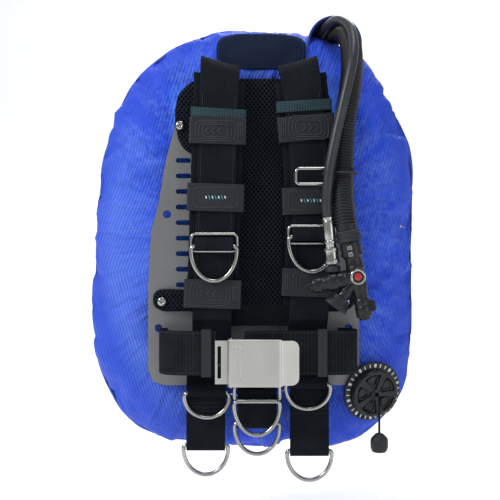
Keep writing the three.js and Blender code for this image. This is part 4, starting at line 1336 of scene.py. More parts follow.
# ---- hoses and the pull cord ----
@dataclass
class Hoses:
    """The corrugated hose, the low-pressure hose, and the dump valve's cord."""

    ribbed: Sequence[Point] = (
        (0.095, 0.093, 0.224), (0.095, 0.093, 0.2285), (0.0957, 0.0898, 0.241),
        (0.0986, 0.0805, 0.254), (0.1032, 0.065, 0.2648), (0.109, 0.043, 0.2715),
        (0.1145, 0.018, 0.2725), (0.119, -0.01, 0.267), (0.1223, -0.037, 0.2555),
        (0.124, -0.059, 0.2355), (0.1237, -0.072, 0.211), (0.1215, -0.079, 0.186),
        (0.1173, -0.083, 0.159), (0.1133, -0.084, 0.13), (0.1115, -0.085, 0.1),
        (0.1104, -0.0895, 0.07), (0.11, -0.0975, 0.044), (0.1109, -0.1018, 0.028),
        (0.1126, -0.1036, 0.014), (0.1149, -0.104, 0.0026),
    )
    supply: Sequence[Point] = (
        (0.0907, -0.104, 0.0192), (0.0895, -0.104, 0.031), (0.0903, -0.106, 0.054),
        (0.0929, -0.1067, 0.079), (0.0983, -0.1057, 0.108), (0.1044, -0.104, 0.135),
        (0.111, -0.103, 0.163), (0.117, -0.101, 0.189), (0.122, -0.0965, 0.213),
        (0.1245, -0.0845, 0.238), (0.121, -0.065, 0.262), (0.1105, -0.037, 0.2765),
        (0.0985, -0.006, 0.276), (0.0905, 0.022, 0.27), (0.083, 0.05, 0.267),
        (0.076, 0.078, 0.2585), (0.073, 0.101, 0.24), (0.0725, 0.113, 0.214),
        (0.0725, 0.116, 0.19), (0.0725, 0.116, 0.168),
    )
    pull: Sequence[Point] = (
        (0.15685, -0.02658, -0.20698), (0.15975, -0.03533, -0.20884), (0.161, -0.0391, -0.2097),
        (0.1618, -0.0412, -0.2125), (0.162, -0.0416, -0.22), (0.162, -0.0416, -0.232),
        (0.162, -0.0416, -0.246), (0.162, -0.0416, -0.257),
    )
    rib_pitch: float = 0.0036
    rib_depth: float = 0.0009
    plain_end: float = 0.006
    diameter: float = 0.028
    supply_diameter: float = 0.0125
    cord_diameter: float = 0.003

    def line(self, route: Sequence[Point], pitch: float) -> np.ndarray:
        """A route as close, evenly spaced points."""
        smooth = catmull(np.array(route, float), False, 24)
        length = np.linalg.norm(np.diff(smooth, axis=0), axis=1).sum()
        return even(smooth, max(8, int(length / pitch)))

    def length(self, line: np.ndarray) -> float:
        """How long a line is, in metres."""
        return float(np.linalg.norm(np.diff(line, axis=0), axis=1).sum())

    def build(self) -> None:
        """Makes the three cords and what is on their ends."""
        line = self.line(self.ribbed, self.rib_pitch / 8)
        gone = np.linspace(0, self.length(line), len(line))
        wave = np.sin(2 * math.pi * gone / self.rib_pitch)
        crest = np.sign(wave) * np.abs(wave) ** 0.6
        radii = self.diameter / 2 - self.rib_depth + self.rib_depth * crest
        plain = np.minimum(gone, gone[-1] - gone) < self.plain_end
        radii[plain] = self.diameter / 2 - 0.0012
        hose = tube("ribbed_hose", line, radii, Finish.RIBBED, sides=32)
        fit(hose, "hose_rubber", "corrugated_hose")
        self.supply_hose()
        self.pull_cord()

    def supply_hose(self) -> None:
        """Makes the smooth hose and its tank fitting."""
        line = self.line(self.supply, 0.003)
        hose = tube("supply_hose", line, self.supply_diameter / 2, Finish.LP_RUBBER, sides=28)
        fit(hose, "hose_rubber", "lp_hose")
        end = self.supply[-1]
        profile = [(0, 0.4), (7.2, 0.4), (7.6, -1), (7.2, -2.5), (7.2, -16), (7.7, -17.5),
                   (7.2, -19), (8.6, -19.5), (8.6, -27), (5.6, -27.5), (5.2, -29.2), (5.6, -30),
                   (5.2, -31.2), (5.6, -32), (5.2, -33.2), (5.6, -34), (5.2, -35.2), (5.6, -36),
                   (5.2, -38), (0, -38)]
        fitting = lathe("tank_fitting", profile, Finish.STEEL, Matrix.Translation(Vector(end)),
                        segments=48, crisp=0.3, wobble=self.flats)
        fit(fitting, "polished_steel", "lp_fitting")

    def flutes(self, radius: float, height: float, angle: float) -> float:
        """The knob's fluted side."""
        return radius * (1 - 0.055 * abs(math.sin(4 * angle)) ** 0.5 if radius > 6 else 1)

    def flats(self, radius: float, height: float, angle: float) -> float:
        """The tank fitting's six flats."""
        return hexagon(radius, angle, 0.93) if -27.2 < height < -19.2 and radius > 8 else radius

    def pull_cord(self) -> None:
        """Makes the valve's thin cord and its faceted knob."""
        line = self.line(self.pull, 0.0012)
        cord = tube("pull_line", line, self.cord_diameter / 2, Finish.WEB, "dump_pull", sides=14)
        fit(cord, "webbing", "pull_cord")
        low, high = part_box("pull_knob")
        top = Vector(((low.x + high.x) / 2, (low.y + high.y) / 2, high.z))
        profile = [(0, 0), (4.5, 0), (6.2, -1.6), (10.6, -6), (11.5, -9), (11.4, -18), (9.6, -23.4),
                   (8, -24.6), (0, -24.6)]
        knob = lathe("pull_handle", profile, Finish.CUFF, Matrix.Translation(top), "dump_pull",
                     segments=48, crisp=0.9, wobble=self.flutes)
        fit(knob, "keeper_rubber", "pull_knob")


# ---- shoulder straps ----
FLAT_FRONT = -30.4
PAD_Y = -58.8
WEB_Y = -64.45


@dataclass
class ShoulderStrap:
    """One padded shoulder strap with its webbing, piping and elastic band."""

    side: str
    sign: int
    middle: Callable[[float], float]
    band: tuple[float, float]
    slant: float = 0.33
    stitch_y: float = -0.0655

    def lay(self, across: float, y: float, z: float) -> Point:
        """Puts a point of the strap's strip in the part's frame, in millimetres."""
        front = min(1, max(0, (FLAT_FRONT - 2 - y) / 15))
        rise = max(0, (z - 150) / 70) * self.slant * across * self.sign * front
        return (across + self.middle(z), y, z + rise)

    def build(self) -> None:
        """Makes the pad, the webbing and what is sewn to them."""
        y = PAD_Y
        pad = Ribbon(f"{self.side}_strap_pad",
                     [(y, -93.4), (y, 40), (y, 165), (y + 1.5, 185), (y + 5, 197.4)], 5.6, 65,
                     self.lay, Finish.PADDING, 110, crown=1.0, ripple=0.5)
        made = pad.build()
        fit(made, "strap_padding", f"{self.side}_shoulder_pad")
        for edge in (-1, 1):
            line = [pad.place(s, edge * 31.6, -0.01)[0] + Vector((0, 0.0030, 0))
                    for s in np.linspace(0.01, 0.99, 90)]
            place = "in" if edge * self.sign < 0 else "out"
            tube(f"{self.side}_pad_piping_{place}", np.array([tuple(p) for p in line]),
                         1.25 * MM, Finish.WEB, sides=10)
        w = WEB_Y
        path = [(FLAT_FRONT - 5, -168), (FLAT_FRONT - 12, -150), (w + 12, -128), (w + 4, -112),
                (w, -100), (w, 0), (w, 90), (w, 170), (w + 1.5, 190), (w + 7, 209), (w + 18, 219.5),
                (w + 28, 217), (FLAT_FRONT, 206.5)]
        web = Ribbon(f"{self.side}_strap_webbing", path, 2.3, 49.6, self.lay, Finish.WEB, 190)
        made = web.build()
        fit(made, "webbing", f"{self.side}_shoulder_webbing")
        self.elastic(web)
        spots = []
        for across in (-20.5, 20.5):
            for share in np.arange(0.30, 0.97, 0.0062):
                at, along, out = web.place(share, across, 0.02)
                if at.y < self.stitch_y:
                    spots.append((at, along, out))
        if spots:
            stitches(f"{self.side}_strap_stitches", spots, Finish.THREAD)

    def elastic(self, web: Ribbon) -> None:
        """Adds the woven elastic band above the upper keeper."""
        low, high = self.band
        z = (low + high) / 2
        x = self.middle(z)
        loop = rounded_outline(69.5, 12.6, 2.8, 5)
        rows = np.linspace(low, high, 8)
        verts = []
        for k, level in enumerate(rows):
            pinch = 0.4 * math.sin(math.pi * k / (len(rows) - 1))
            for a, b in loop:
                verts.append((x + a, -60.1 + b * (1 - pinch / 20),
                              level + self.sign * 0.06 * a))
        n = len(loop)
        made = piece(f"{self.side}_elastic_band", millimetres(verts), grid_faces(len(rows), n),
                     Finish.ELASTIC,
                     uvs=millimetres([(a + b, level) for level in rows for a, b in loop]))
        thick = made.modifiers.new("thick", "SOLIDIFY")
        thick.thickness = 0.9 * MM
        thick.offset = 0


@dataclass
class Keepers:
    """The moulded keepers round both straps, with raised ribs."""

    def build(self) -> None:
        """Dresses each keeper and puts its raised pattern on."""
        for side, sign in (("right", -1), ("left", 1)):
            for place in ("upper", "middle", "lower"):
                node = f"{side}_{place}_keeper"
                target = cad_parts[node]
                dress(target, Finish.KEEPER)
                soften(target, 1.1, 3)
                low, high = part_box(node)
                if place == "middle":
                    self.ticks(node, low, high)
                else:
                    self.ribs(node, low, high, sign)

    def face(self, low: Vector, high: Vector) -> tuple[float, float, float, float]:
        """The front face's centre, depth and height, in millimetres."""
        return ((low.x + high.x) / 2 / MM, low.y / MM, (low.z + high.z) / 2 / MM,
                (high.z - low.z) / MM)

    def ribs(self, node: str, low: Vector, high: Vector, sign: int) -> None:
        """Three rounded borders, raised arrowheads and upright ribs at one end."""
        x, y, z, height = self.face(low, high)
        tall = height - 13
        for k, inset in enumerate((0, 5.2, 10.4)):
            outline = rounded_outline(50 - inset * 1.7, tall + 3.4 - inset, 8 - inset * 0.35, 6)
            line = millimetres([(x + sign * 3 + a, y - 0.15, z + b) for a, b in outline])
            tube(f"{node}_border_{k}", line, 0.75 * MM, Finish.RAISED, sides=8,
                         closed=True)
        for k in range(3):
            tip = x + sign * (16 - 8 * k)
            arm = tall * 0.17
            line = even(millimetres([(tip - sign * 5, y - 0.2, z + arm), (tip, y - 0.2, z),
                                     (tip - sign * 5, y - 0.2, z - arm)]), 17)
            tube(f"{node}_arrow_{k}", line, 0.95 * MM, Finish.RAISED, sides=8)
        for k in range(3):
            at = x - sign * (26 + 2.7 * k)
            line = even(millimetres([(at, y - 0.1, z + end * tall / 2.2) for end in (-1, 1)]), 5)
            tube(f"{node}_rib_{k}", line, 0.8 * MM, Finish.RAISED, sides=8)

    def ticks(self, node: str, low: Vector, high: Vector) -> None:
        """A plain raised panel with a row of small coloured ticks."""
        x, y, z, height = self.face(low, high)
        panel = rounded_outline(56, height - 12, 6, 6)
        line = millimetres([(x + a, y - 0.1, z + b) for a, b in panel])
        tube(f"{node}_edge", line, 0.7 * MM, Finish.RAISED, sides=8, closed=True)
        for k in range(7):
            odd = k % 2
            spot = offset(x - 12 + 4 * k, y - 0.35, z)
            lean = spin(math.pi / 2, "X") @ spin(0.3, "Z")
            slab(f"{node}_tick_{k}", rounded_outline(1.5, 5.5 if odd else 3.6, 0.6, 3),
                         0.6, Finish.TEAL if odd else Finish.TICK, spot @ lean, bevel=0.15)


# ---- rings and slides ----
@dataclass
class Hardware:
    """Every D-ring, slide and the hose's retaining ring, as smooth bent wire."""

    wire: float = 5.4
    slide_wire: float = 4.4

    def ring_line(self, low: Vector, high: Vector) -> np.ndarray:
        """The middle of a D's wire, from the box of its CAD node."""
        wire = self.wire * MM
        w = (high.x - low.x - wire) / 2
        top = high.z - wire / 2
        drop = high.z - low.z - wire
        x, y = (low.x + high.x) / 2, (low.y + high.y) / 2
        corner = 0.004
        points = [(x + s, y, top) for s in np.linspace(-w + corner, w - corner, 14)]
        points += [(x + w - corner + corner * math.sin(a), y, top - corner + corner * math.cos(a))
                   for a in np.linspace(0.15, math.pi / 2 - 0.1, 6)]
        points += [(x + w * math.cos(a), y, top - corner + (drop - corner) * math.sin(a))
                   for a in np.linspace(0, -math.pi, 60)]
        points += [(x - w + corner - corner * math.sin(a), y, top - corner + corner * math.cos(a))
                   for a in np.linspace(math.pi / 2 - 0.1, 0.15, 6)]
        return even(np.array(points), 130)

    def slide_line(self, low: Vector, high: Vector) -> np.ndarray:
        """The middle of a slide's wire, from the box of its CAD node."""
        wire = self.slide_wire * MM
        centre = (low + high) / 2
        outline = rounded_outline(high.x - low.x - wire, high.z - low.z - wire, 0.005, 8)
        return np.array([(centre.x + a, centre.y, centre.z + b) for a, b in outline])

    def build(self) -> None:
        """Makes them all and rides each on its own body."""
        for node in ("right_shoulder", "left_shoulder", "right_hip", "left_hip", "right_end",
                     "left_end", "crotch_front", "crotch_rear"):
            name = f"{node}_ring"
            line = self.ring_line(*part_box(name))
            made = tube(f"{node}_loop", line, self.wire / 2 * MM, Finish.STEEL, f"{name}_body",
                        sides=20, closed=True)
            fit(made, "polished_steel", name)
        for node, body in (("right_shoulder", "right_adjuster"), ("left_shoulder", "left_adjuster"),
                           ("right_hip", HARNESS), ("left_hip", HARNESS)):
            self.wrap(node, body)
        riders = {"right_shoulder_slide": "right_adjuster", "left_shoulder_slide": "left_adjuster",
                  "crotch_slide": HARNESS, "hose_retainer_ring": HARNESS}
        for name, body in riders.items():
            line = self.slide_line(*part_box(name))
            made = tube(f"{name}_wire", line, self.slide_wire / 2 * MM, Finish.STEEL, body,
                        sides=18, closed=True)
            fit(made, "polished_steel", name)

    def wrap(self, node: str, body: str) -> None:
        """Makes the fold of webbing that holds a ring's bar."""
        low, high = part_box(f"{node}_ring")
        x, y = (low.x + high.x) / 2 / MM, (low.y + high.y) / 2 / MM
        z = high.z / MM - self.wire / 2
        path = [(y + 3.0, z + 11), (y - 1.2, z + 8), (y - 4.1, z + 3), (y - 4.3, z - 1),
                (y - 2.4, z - 3.9), (y + 1.2, z - 4.4)]
        made = Ribbon(f"{node}_bar_wrap", path, 1.6, 49, lambda across, a, b: (x + across, a, b),
                      Finish.WEB, 40, body=body).build()


# ---- lower straps and belts ----
@dataclass
class LowerStraps:
    """The drop straps, the crotch strap and the two halves of the waist belt."""

    webbing: float = 2.3
    belt_y: float = -82
    belt_z: float = -150
    belt_height: float = 55.6
    ring_radius: float = 2.7
    slack: float = 1.9
    half_thick: float = 1.25

    def build(self) -> None:
        """Makes every strip below the shoulder straps."""
        turn = self.ring_radius + self.slack + self.half_thick
        for side in ("right", "left"):
            low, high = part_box(f"{side}_end_ring")
            x, y = (low.x + high.x) / 2 / MM, (low.y + high.y) / 2 / MM
            z = high.z / MM - self.ring_radius
            path = [(FLAT_FRONT - 4, -172), (FLAT_FRONT - 8, -184), (y - 1, -205), (y - 2, z + 26),
                    (y - turn + 0.6, z + 9), (y - turn, z), (y, z - turn), (y + turn, z),
                    (y + turn - 1.5, z + 9), (y + 1.6, z + 24), (y + 1.6, z + 38)]
            self.hang(f"{side}_drop_webbing", path, x, f"{side}_drop_strap", 0.62)
        low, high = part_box("crotch_rear_ring")
        x, y = (low.x + high.x) / 2 / MM, (low.y + high.y) / 2 / MM
        z = high.z / MM - self.ring_radius
        path = [(FLAT_FRONT - 4, -182), (FLAT_FRONT - 10, -196), (y + 4.5, -215), (y + turn, z + 8),
                (y + turn, z), (y, z - turn), (y - turn, z), (y - turn, z + 10), (y - turn, -218),
                (y - turn, -206), (y - turn - 1.6, -200)]
        self.hang("crotch_webbing", path, x, "crotch_strap", 0.3)
        self.belts()

    def hang(self, name: str, path: list[Point], x: float, node: str, share: float) -> None:
        """Makes one hanging strip with two rows of stitches across it."""
        web = Ribbon(name, path, self.webbing, 49.6, lambda across, y, z: (x + across, y, z),
                     Finish.WEB, 120)
        made = web.build()
        fit(made, "webbing", node)
        spots = []
        for row in (0, 0.035, 0.07):
            for across in np.arange(-22, 22.1, 2.9):
                for face in (-0.02, 0.02):
                    at, along, out = web.place(share - 0.32 + row, across, face)
                    spots.append((at, along.cross(out), out))
        stitches(f"{name}_stitches", spots, Finish.THREAD)

    def belts(self) -> None:
        """Makes both halves of the waist belt, with stitches, and dresses the belt keepers."""
        y, start = self.belt_y, FLAT_FRONT - 3
        paths = {
            "right": [(-112, start), (-119, start - 12), (-118, start - 28), (-109, y + 6),
                      (-88, y - 1.5), (-62, y - 2.5), (-47, y - 2.5)],
            "left": [(110, start), (127, start - 8), (131, start - 26), (124, y + 9), (106, y + 3),
                     (80, y + 2), (40, y + 2), (-12, y + 2)],
        }
        for side, path in paths.items():
            belt = Ribbon(f"{side}_belt", path, self.webbing, self.belt_height,
                          lambda across, x, depth: (x, depth, self.belt_z + across),
                          Finish.BELT, 110)
            made = belt.build()
            fit(made, "webbing", f"{side}_waist_belt")
            face = self.facing(belt)
            spots = [belt.place(share, across, face) for across in (-25, 25)
                     for share in np.arange(0.05, 0.95, 0.016)]
            for share in (0.66, 0.70, 0.74):
                for across in np.arange(-24, 24.1, 3):
                    at, along, out = belt.place(share, across, face)
                    spots.append((at, along.cross(out), out))
            stitches(f"{side}_belt_stitches", spots, Finish.THREAD)
            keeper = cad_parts[f"{side}_belt_keeper"]
            dress(keeper, Finish.CUFF)
            soften(keeper, 0.5, 2)

    def facing(self, belt: Ribbon) -> float:
        """Which face of a belt looks away from the plate, as a small lift."""
        out = belt.place(0.8, 0, 0.02)[2]
        return 0.02 if out.y < 0 else -0.02


# ---- buckle ----
@dataclass
class CamBuckle:
    """The belt's sheet-steel cam buckle."""

    path: Sequence[Point] = ((-1.8, -4.9), (3, -5.6), (12, -6), (35, -6), (58, -6), (64, -3.5),
                             (84, 1.5))
    sheet: float = 1.8
    corner: float = 9.0
    bend: float = 61.0
    ridges: tuple[float, float] = (-20.5, -16.5)
    ridge_reach: float = 0.021

    def lever(self) -> None:
        """Makes the pressed lever: a flanged face and a tongue with round corners."""
        pin_low, pin_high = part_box("buckle_pin")
        pin = (pin_low + pin_high) / 2 / MM
        low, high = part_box("buckle_lever")
        half = (high.z - low.z) / 2 / MM
        line = uniform_spline(np.array(self.path, float), 90)
        tangent = np.gradient(line, axis=0)
        tangent /= np.linalg.norm(tangent, axis=1)[:, None]
        across = np.sin(np.linspace(-1, 1, 31) * math.pi / 2)
        end = line[-1][0]
        verts = []
        for side in (-1, 1):
            for (x, y), along in zip(line, tangent):
                left = max(0.0, self.corner - (end - x))
                reach = half - self.corner + math.sqrt(max(0.0, self.corner ** 2 - left ** 2))
                reach -= 1.6 * min(1, max(0, (x - self.bend) / 2.5))
                for share in across:
                    fold = 0.9 * max(0.0, abs(share) - 0.955) / 0.045 if x < self.bend - 2 else 0
                    off = side * self.sheet / 2
                    verts.append((pin.x + x - along[1] * off, pin.y + y + along[0] * off + fold,
                                  pin.z + share * reach))
        rows, cols = len(line), len(across)
        faces = grid_faces(rows, cols, wrap_columns=False)
        faces += grid_faces(rows, cols, wrap_columns=False, start=rows * cols)
        rim = [i * cols for i in range(rows)] + [(rows - 1) * cols + j for j in range(1, cols)]
        rim += [i * cols + cols - 1 for i in range(rows - 2, -1, -1)]
        rim += list(range(cols - 2, 0, -1))
        other = rows * cols
        faces += [(a, b, b + other, a + other) for a, b in zip(rim, rim[1:] + rim[:1])]
        made = piece("lever_face", millimetres(verts), faces, Finish.BUCKLE, "lever")
        outward(made)
        soften(made, 0.35, 2, 40)
        fit(made, "satin_buckle", "buckle_lever")
        outline = [(-3.2, 2.4), (-4, -2.5), (-2, -4.6), (3, -5.6), (12, -6), (58, -6), (50, -2.5),
                   (24, 1), (6, 3.4)]
        for name, z in (("low", pin.z - half), ("high", pin.z + half - self.sheet)):
            spot = offset(pin.x, pin.y, z)
            slab(f"lever_flange_{name}", outline, self.sheet, Finish.BUCKLE, spot, "lever",
                         0.5)
        end = half - 2
        roll = [(3.1, -end), (4.3, -end), (4.3, end), (3.1, end), (3.1, -end)]
        lathe("lever_roll", roll, Finish.STEEL, Matrix.Translation(pin * MM), "lever",
                      crisp=0.3)

    def build(self) -> None:
        """Dresses the base, and makes the lever, the pin and the pressed ridges."""
        dress(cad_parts["buckle_base"], Finish.BUCKLE)
        soften(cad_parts["buckle_base"], 0.5, 2)
        self.lever()
        low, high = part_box("buckle_pin")
        centre = (low + high) / 2
        reach = (high.z - low.z) / 2 / MM
        profile = [(0, -reach), (1.6, -reach), (2, -reach + 0.5), (2, reach - 0.5), (1.6, reach),
                   (0, reach)]
        pin = lathe("hinge_pin", profile, Finish.STEEL, Matrix.Translation(centre), crisp=0.1)
        fit(pin, "polished_steel", "buckle_pin")
        low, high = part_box("buckle_lever")
        middle = (low.z + high.z) / 2
        for k, x in enumerate(self.ridges):
            line = [(x * MM, low.y + 0.0001, middle + s * self.ridge_reach)
                    for s in np.linspace(-1, 1, 16)]
            tube(f"lever_ridge_{k}", np.array(line), 0.7 * MM, Finish.BUCKLE, "lever",
                         sides=10)
        base_low, base_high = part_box("buckle_base")
        line = [(base_low.x + 0.0025, base_high.y - 0.0019, middle + s * 0.0225)
                for s in np.linspace(-1, 1, 12)]
        tube("base_ridge", np.array(line), 0.9 * MM, Finish.BUCKLE, sides=10)


# ---- inflator, elbow and loop ----
@dataclass
class Inflator:
    """The power inflator, its quick connector, the elbow and the elastic loop."""

    root: Point = (0.1149, -0.104, 0.0026)
    tilt: float = -0.2
    arm_z: float = -58
    branch: float = 30.5
    branch_lean: float = 0.82

    def frame_matrix(self) -> Matrix:
        """The inflator's own frame."""
        return Matrix.Translation(Vector(self.root)) @ spin(self.tilt, "Y")

    def down(self, own: Matrix) -> Matrix:
        """The breathing branch's frame."""
        lean = self.branch_lean
        return own @ aim(Vector((0, 0, self.arm_z)) * MM, (-math.sin(lean), 0, -math.cos(lean)))

    def build(self) -> None:
        """Makes every piece of it."""
        own = self.frame_matrix()
        self.body(own)
        self.buttons(own)
        self.mouthpiece(own)
        self.connector(own)
        self.bands(own)
        self.elbow()
        self.loop()

    def body(self, own: Matrix) -> None:
        """Makes the stem, the side arm, the breathing branch and the lug."""
        spine = [(0, -1), (10.6, -1), (10.6, -15), (12.8, -15), (13, -16), (13, -31), (10.5, -34.5),
                 (10.5, -44), (11.3, -45), (11.3, -48), (10.5, -49), (10.5, -71), (8.6, -79.5),
                 (8.6, -85), (10, -87), (10, -92), (9.4, -93), (9.4, -94.5), (10, -95.5),
                 (10, -107.6), (8, -108), (7.6, -108), (7.6, -98), (0, -98)]
        parts = [lathe("inflator_stem", spine, Finish.PLASTIC, own, segments=48, crisp=0.45)]
        armed = own @ aim(Vector((0, 0, self.arm_z)) * MM, (-1, 0, 0))
        arm = [(0, 0), (10.5, 0), (10.5, 12), (11.1, 12.6), (11.1, 14.4), (10.5, 15), (10.5, 23.5),
               (12.1, 26), (12.1, 35), (9.8, 37), (9.8, 41), (9.1, 42), (9.1, 44), (9.8, 45),
               (9.8, 55.6), (7.6, 56), (7.6, 45.2), (0, 45.2)]
        parts.append(lathe("inflator_arm", arm, Finish.PLASTIC, armed, segments=48, crisp=0.4))
        down = self.down(own)
        tubes = [(0, 0), (8.4, 0), (8.4, 20), (9.2, 21), (9.2, 23), (8.4, 24), (8.4, self.branch),
                 (0, self.branch)]
        parts.append(lathe("breathing_branch", tubes, Finish.PLASTIC, down, segments=40))
        lug = slab("end_lug", rounded_outline(9, 14, 3, 5), 8.6, Finish.PLASTIC,
                   own @ offset(11, 4.3, -96) @ spin(math.pi / 2, "X"),
                   bevel=0.8)
        parts.append(lug)
        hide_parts("inflator_body")
        badge = own @ aim(Vector((0.5, -10.0, -58)) * MM, (0, -1, 0))
        ring = [(0, 0), (9.6, 0), (9.6, 1.0), (8.2, 1.5), (7.2, 0.9), (0, 0.9)]
        lathe("badge_ring", ring, Finish.STEEL, badge, segments=48, crisp=0.2)
        lathe("badge_field", [(0, 0.8), (7, 0.8), (7, 1.2), (0, 1.2)], Finish.PLASTIC,
                      badge, crisp=0.1)
        lathe("badge_dot", [(0, 1.0), (4.6, 1.0), (4.4, 1.5), (0, 1.8)], Finish.RED, badge,
                      crisp=0.2)

    def buttons(self, own: Matrix) -> None:
        """Makes the inflate and deflate buttons on their own bodies."""
        armed = own @ aim(Vector((0, 0, self.arm_z)) * MM, (-1, 0, 0))
        inflate = [(0, 48.9), (7.1, 48.9), (7.1, 58.4), (6.4, 59.4), (4.8, 59.5), (4.4, 59.1),
                   (0, 58.9)]
        made = lathe("inflate_key", inflate, Finish.PLASTIC, armed, "inflate_button_body",
                     crisp=0.3)
        fit(made, "black_plastic", "inflate_button")
        deflate = [(0, -104.8), (7.1, -104.8), (7.1, -110.6), (6.2, -111.8), (4.6, -111.9),
                   (4, -111.4), (0, -111.2)]
        made = lathe("deflate_key", deflate, Finish.PLASTIC, own, "deflate_button_body", crisp=0.3)
        fit(made, "black_plastic", "deflate_button")

    def mouthpiece(self, own: Matrix) -> None:
        """Makes the oval rubber bell with its rolled rim."""
        start = self.branch + 0.4
        down = self.down(own)
        shaped = down @ Matrix.Diagonal((1.35, 0.95, 1, 1))
        profile = [(0, start), (8, start), (8.5, start + 5), (10.2, start + 8.4), (11.4, start + 11),
                   (12, start + 14.2), (11.6, start + 15.6), (10.5, start + 16), (9.2, start + 15.4),
                   (7, start + 10), (5.5, start + 3), (0, start + 3)]
        made = lathe("mouth_bell", profile, Finish.CUFF, shaped, segments=48, crisp=0.5)
        fit(made, "keeper_rubber", "mouthpiece")

    def knurl(self, radius: float, height: float, angle: float) -> float:
        """The sleeve's knurled rims."""
        return radius - (0.28 * (0.5 + 0.5 * math.cos(30 * angle)) if radius > 8.9 else 0)

    def connector(self, own: Matrix) -> None:
        """Makes the nipple, the hose's ferrule and the knurled sleeve."""
        seat = own @ offset(-28, 0, self.arm_z + 4) @ spin(0.1, "Y")
        nipple = [(0, -2.5), (4.6, -2.5), (4.6, 7.8), (9.4, 8), (9.4, 14), (5, 16), (5, 26), (0, 26)]
        made = lathe("nipple", nipple, Finish.CUFF, seat, crisp=0.4)
        fit(made, "keeper_rubber", "qd_nipple")
        socket = [(5.4, 17), (7, 17), (7, 42), (8, 42.5), (8, 45.5), (7.2, 46.2), (7.2, 48),
                  (7.5, 48.4), (7.5, 70), (7.1, 70.6), (7.1, 71.8), (7.5, 72.4), (7.5, 75), (0, 75),
                  (0, 27), (5.4, 27), (5.4, 17)]
        made = lathe("ferrule", socket, Finish.STEEL, seat, segments=44, crisp=0.25)
        fit(made, "polished_steel", "qd_socket")
        sleeve = [(7.4, 18), (9, 18), (9, 22), (8.4, 24), (8.4, 32), (9, 34), (9, 37), (7.4, 37),
                  (7.4, 18)]
        made = lathe("knurled_sleeve", sleeve, Finish.STEEL, seat, "qd_sleeve_body", segments=120,
                     crisp=0.25, wobble=self.knurl)
        fit(made, "polished_steel", "qd_sleeve")

    def bands(self, own: Matrix) -> None:
        """Makes the hose cuff and the two tie bands with their small steel buckles."""
        profile = [(11.4, -1), (14.8, -1), (14.8, -4), (14.1, -4.8), (14.8, -5.6), (14.8, -9),
                   (14.1, -9.8), (14.8, -10.6), (14.8, -14), (11.4, -14), (11.4, -1)]
        made = lathe("cuff", profile, Finish.CUFF, own, segments=44, crisp=0.35)
        fit(made, "keeper_rubber", "hose_cuff")
        for k, z in enumerate((-19.5, -27.5)):
            band = [(12.9, z), (13.7, z), (13.7, z - 4), (12.9, z - 4), (12.9, z)]
            lathe(f"tie_band_{k}", band, Finish.PLASTIC, own, segments=44, crisp=0.2)
            spot = own @ offset(-3, -13.0, z - 2) @ spin(math.pi / 2, "X")
            slab(f"band_buckle_{k}", rounded_outline(6, 5, 1, 3), 1.6, Finish.STEEL, spot,
                         bevel=0.3)

    def elbow(self) -> None:
        """Dresses the elbow that feeds the air cell."""
        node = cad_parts["hose_elbow"]
        dress(node, Finish.PLASTIC)
        soften(node, 0.6, 2)

    def loop(self) -> None:
        """Dresses the elastic loop round the hose."""
        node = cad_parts["hose_bungee"]
        dress(node, Finish.CUFF)
        node.data.polygons.foreach_set("use_smooth", [True] * len(node.data.polygons))


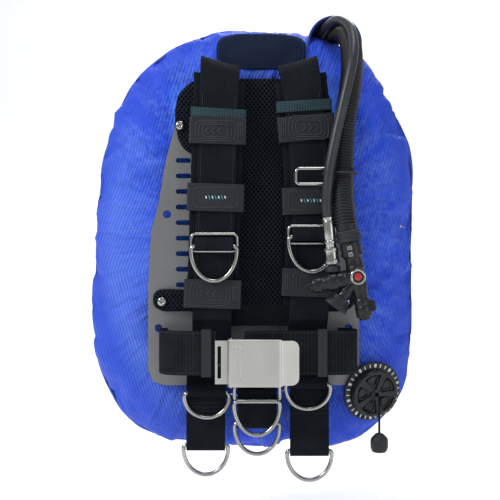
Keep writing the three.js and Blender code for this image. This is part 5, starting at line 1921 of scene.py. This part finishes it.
# ---- dump valve ----
@dataclass
class DumpValve:
    """The round dump valve with its spoked cap and a plain dial ring."""

    centre: Point = (0.1517, -0.0111, -0.2037)
    axis: Point = (0.308712, -0.930265, -0.198251)
    rim: float = 40
    foot: float = 9.2
    spokes: int = 5
    ticks: int = 30

    def grip(self, radius: float, height: float, angle: float) -> float:
        """The base's fluted rim."""
        return radius - (0.5 * (0.5 + 0.5 * math.cos(36 * angle)) if radius > self.rim - 0.6
                         else 0)

    def build(self) -> None:
        """Makes the base, cap and disc, and the raised detail."""
        own = aim(self.centre, self.axis)
        f, rim = self.foot, self.rim
        base = [(9, -7), (13, -7), (13, f), (rim - 1, f), (rim, f + 1), (rim, f + 3),
                (rim - 1, f + 4), (rim - 3, f + 4.2), (33.5, f + 4.8), (29, f + 5), (29, f + 9),
                (26, f + 9), (26, f + 3), (9, f + 3), (9, -7)]
        made = lathe("valve_base", base, Finish.PLASTIC, own, segments=144, crisp=0.4,
                     wobble=self.grip)
        fit(made, "black_plastic", "dump_valve_base")
        skirt = f + 5.4
        cap = [(2.6, f + 11.4), (29.4, f + 11.4), (29.4, skirt), (31.4, skirt), (31.4, f + 13),
               (30.6, f + 14.6), (29.2, f + 15.4), (26.4, f + 15.2), (25.6, f + 12.2), (7.5, f + 12.2),
               (6.8, f + 16.2), (2.6, f + 16.6), (2.6, f + 11.4)]
        made = lathe("valve_cap", cap, Finish.PLASTIC, own, segments=72, crisp=0.3)
        fit(made, "black_plastic", "dump_valve_cap")
        disc = [(0, f + 3.4), (14, f + 3.4), (14, f + 5.4), (3, f + 5.4), (3, f + 7), (0, f + 7)]
        made = lathe("valve_disc", disc, Finish.CUFF, own, "dump_pull", crisp=0.3)
        fit(made, "keeper_rubber", "dump_valve_disc")
        for k in range(self.spokes):
            turn = own @ spin(k * 2 * math.pi / self.spokes + 0.3, "Z")
            spoke = [(5, -2.6), (27, -4.6), (27, 4.6), (5, 2.6)]
            slab(f"cap_spoke_{k}", spoke, 3.4, Finish.PLASTIC,
                         turn @ offset(0, 0, f + 11.8), bevel=0.6)
            middle = turn @ spin(math.pi / self.spokes, "Z")
            pocket = [(11.5, 0, f + 13.4), (21, -7, f + 13.4), (24, 0, f + 13.4), (21, 7, f + 13.4)]
            line = np.array([tuple(middle @ (Vector(c) * MM))
                             for c in catmull(np.array(pocket, float), True, 8)])
            tube(f"cap_pocket_{k}", line, 1.1 * MM, Finish.PLASTIC, sides=10, closed=True)
        for k in range(self.ticks):
            turn = own @ spin(k * math.pi / (self.ticks / 2), "Z")
            spot = turn @ offset(35.3, 0, f + 4.35)
            size = (4.8, 1.5) if k % 3 else (4.8, 3.2)
            slab(f"dial_tick_{k}", rounded_outline(*size, 0.5, 2), 0.5, Finish.TICK, spot,
                         bevel=0.12)


def main() -> None:
    """Builds the studio, then every sub-assembly in order."""
    Studio().build()
    Hoses().build()
    cell = AirCell()
    shell = cell.build()
    cell.piping()
    Hood().build()
    WingLabel(Surface.of(shell)).build()
    PlateAndPad().build()
    ShoulderStrap("right", -1, lambda z: -49.3 + 0.032 * z, (145, 158)).build()
    ShoulderStrap("left", 1, lambda z: 73 - 0.00033 * (z + 5) ** 2, (154, 168)).build()
    Keepers().build()
    Hardware().build()
    LowerStraps().build()
    CamBuckle().build()
    Inflator().build()
    DumpValve().build()


if __name__ == "__main__":
    main()
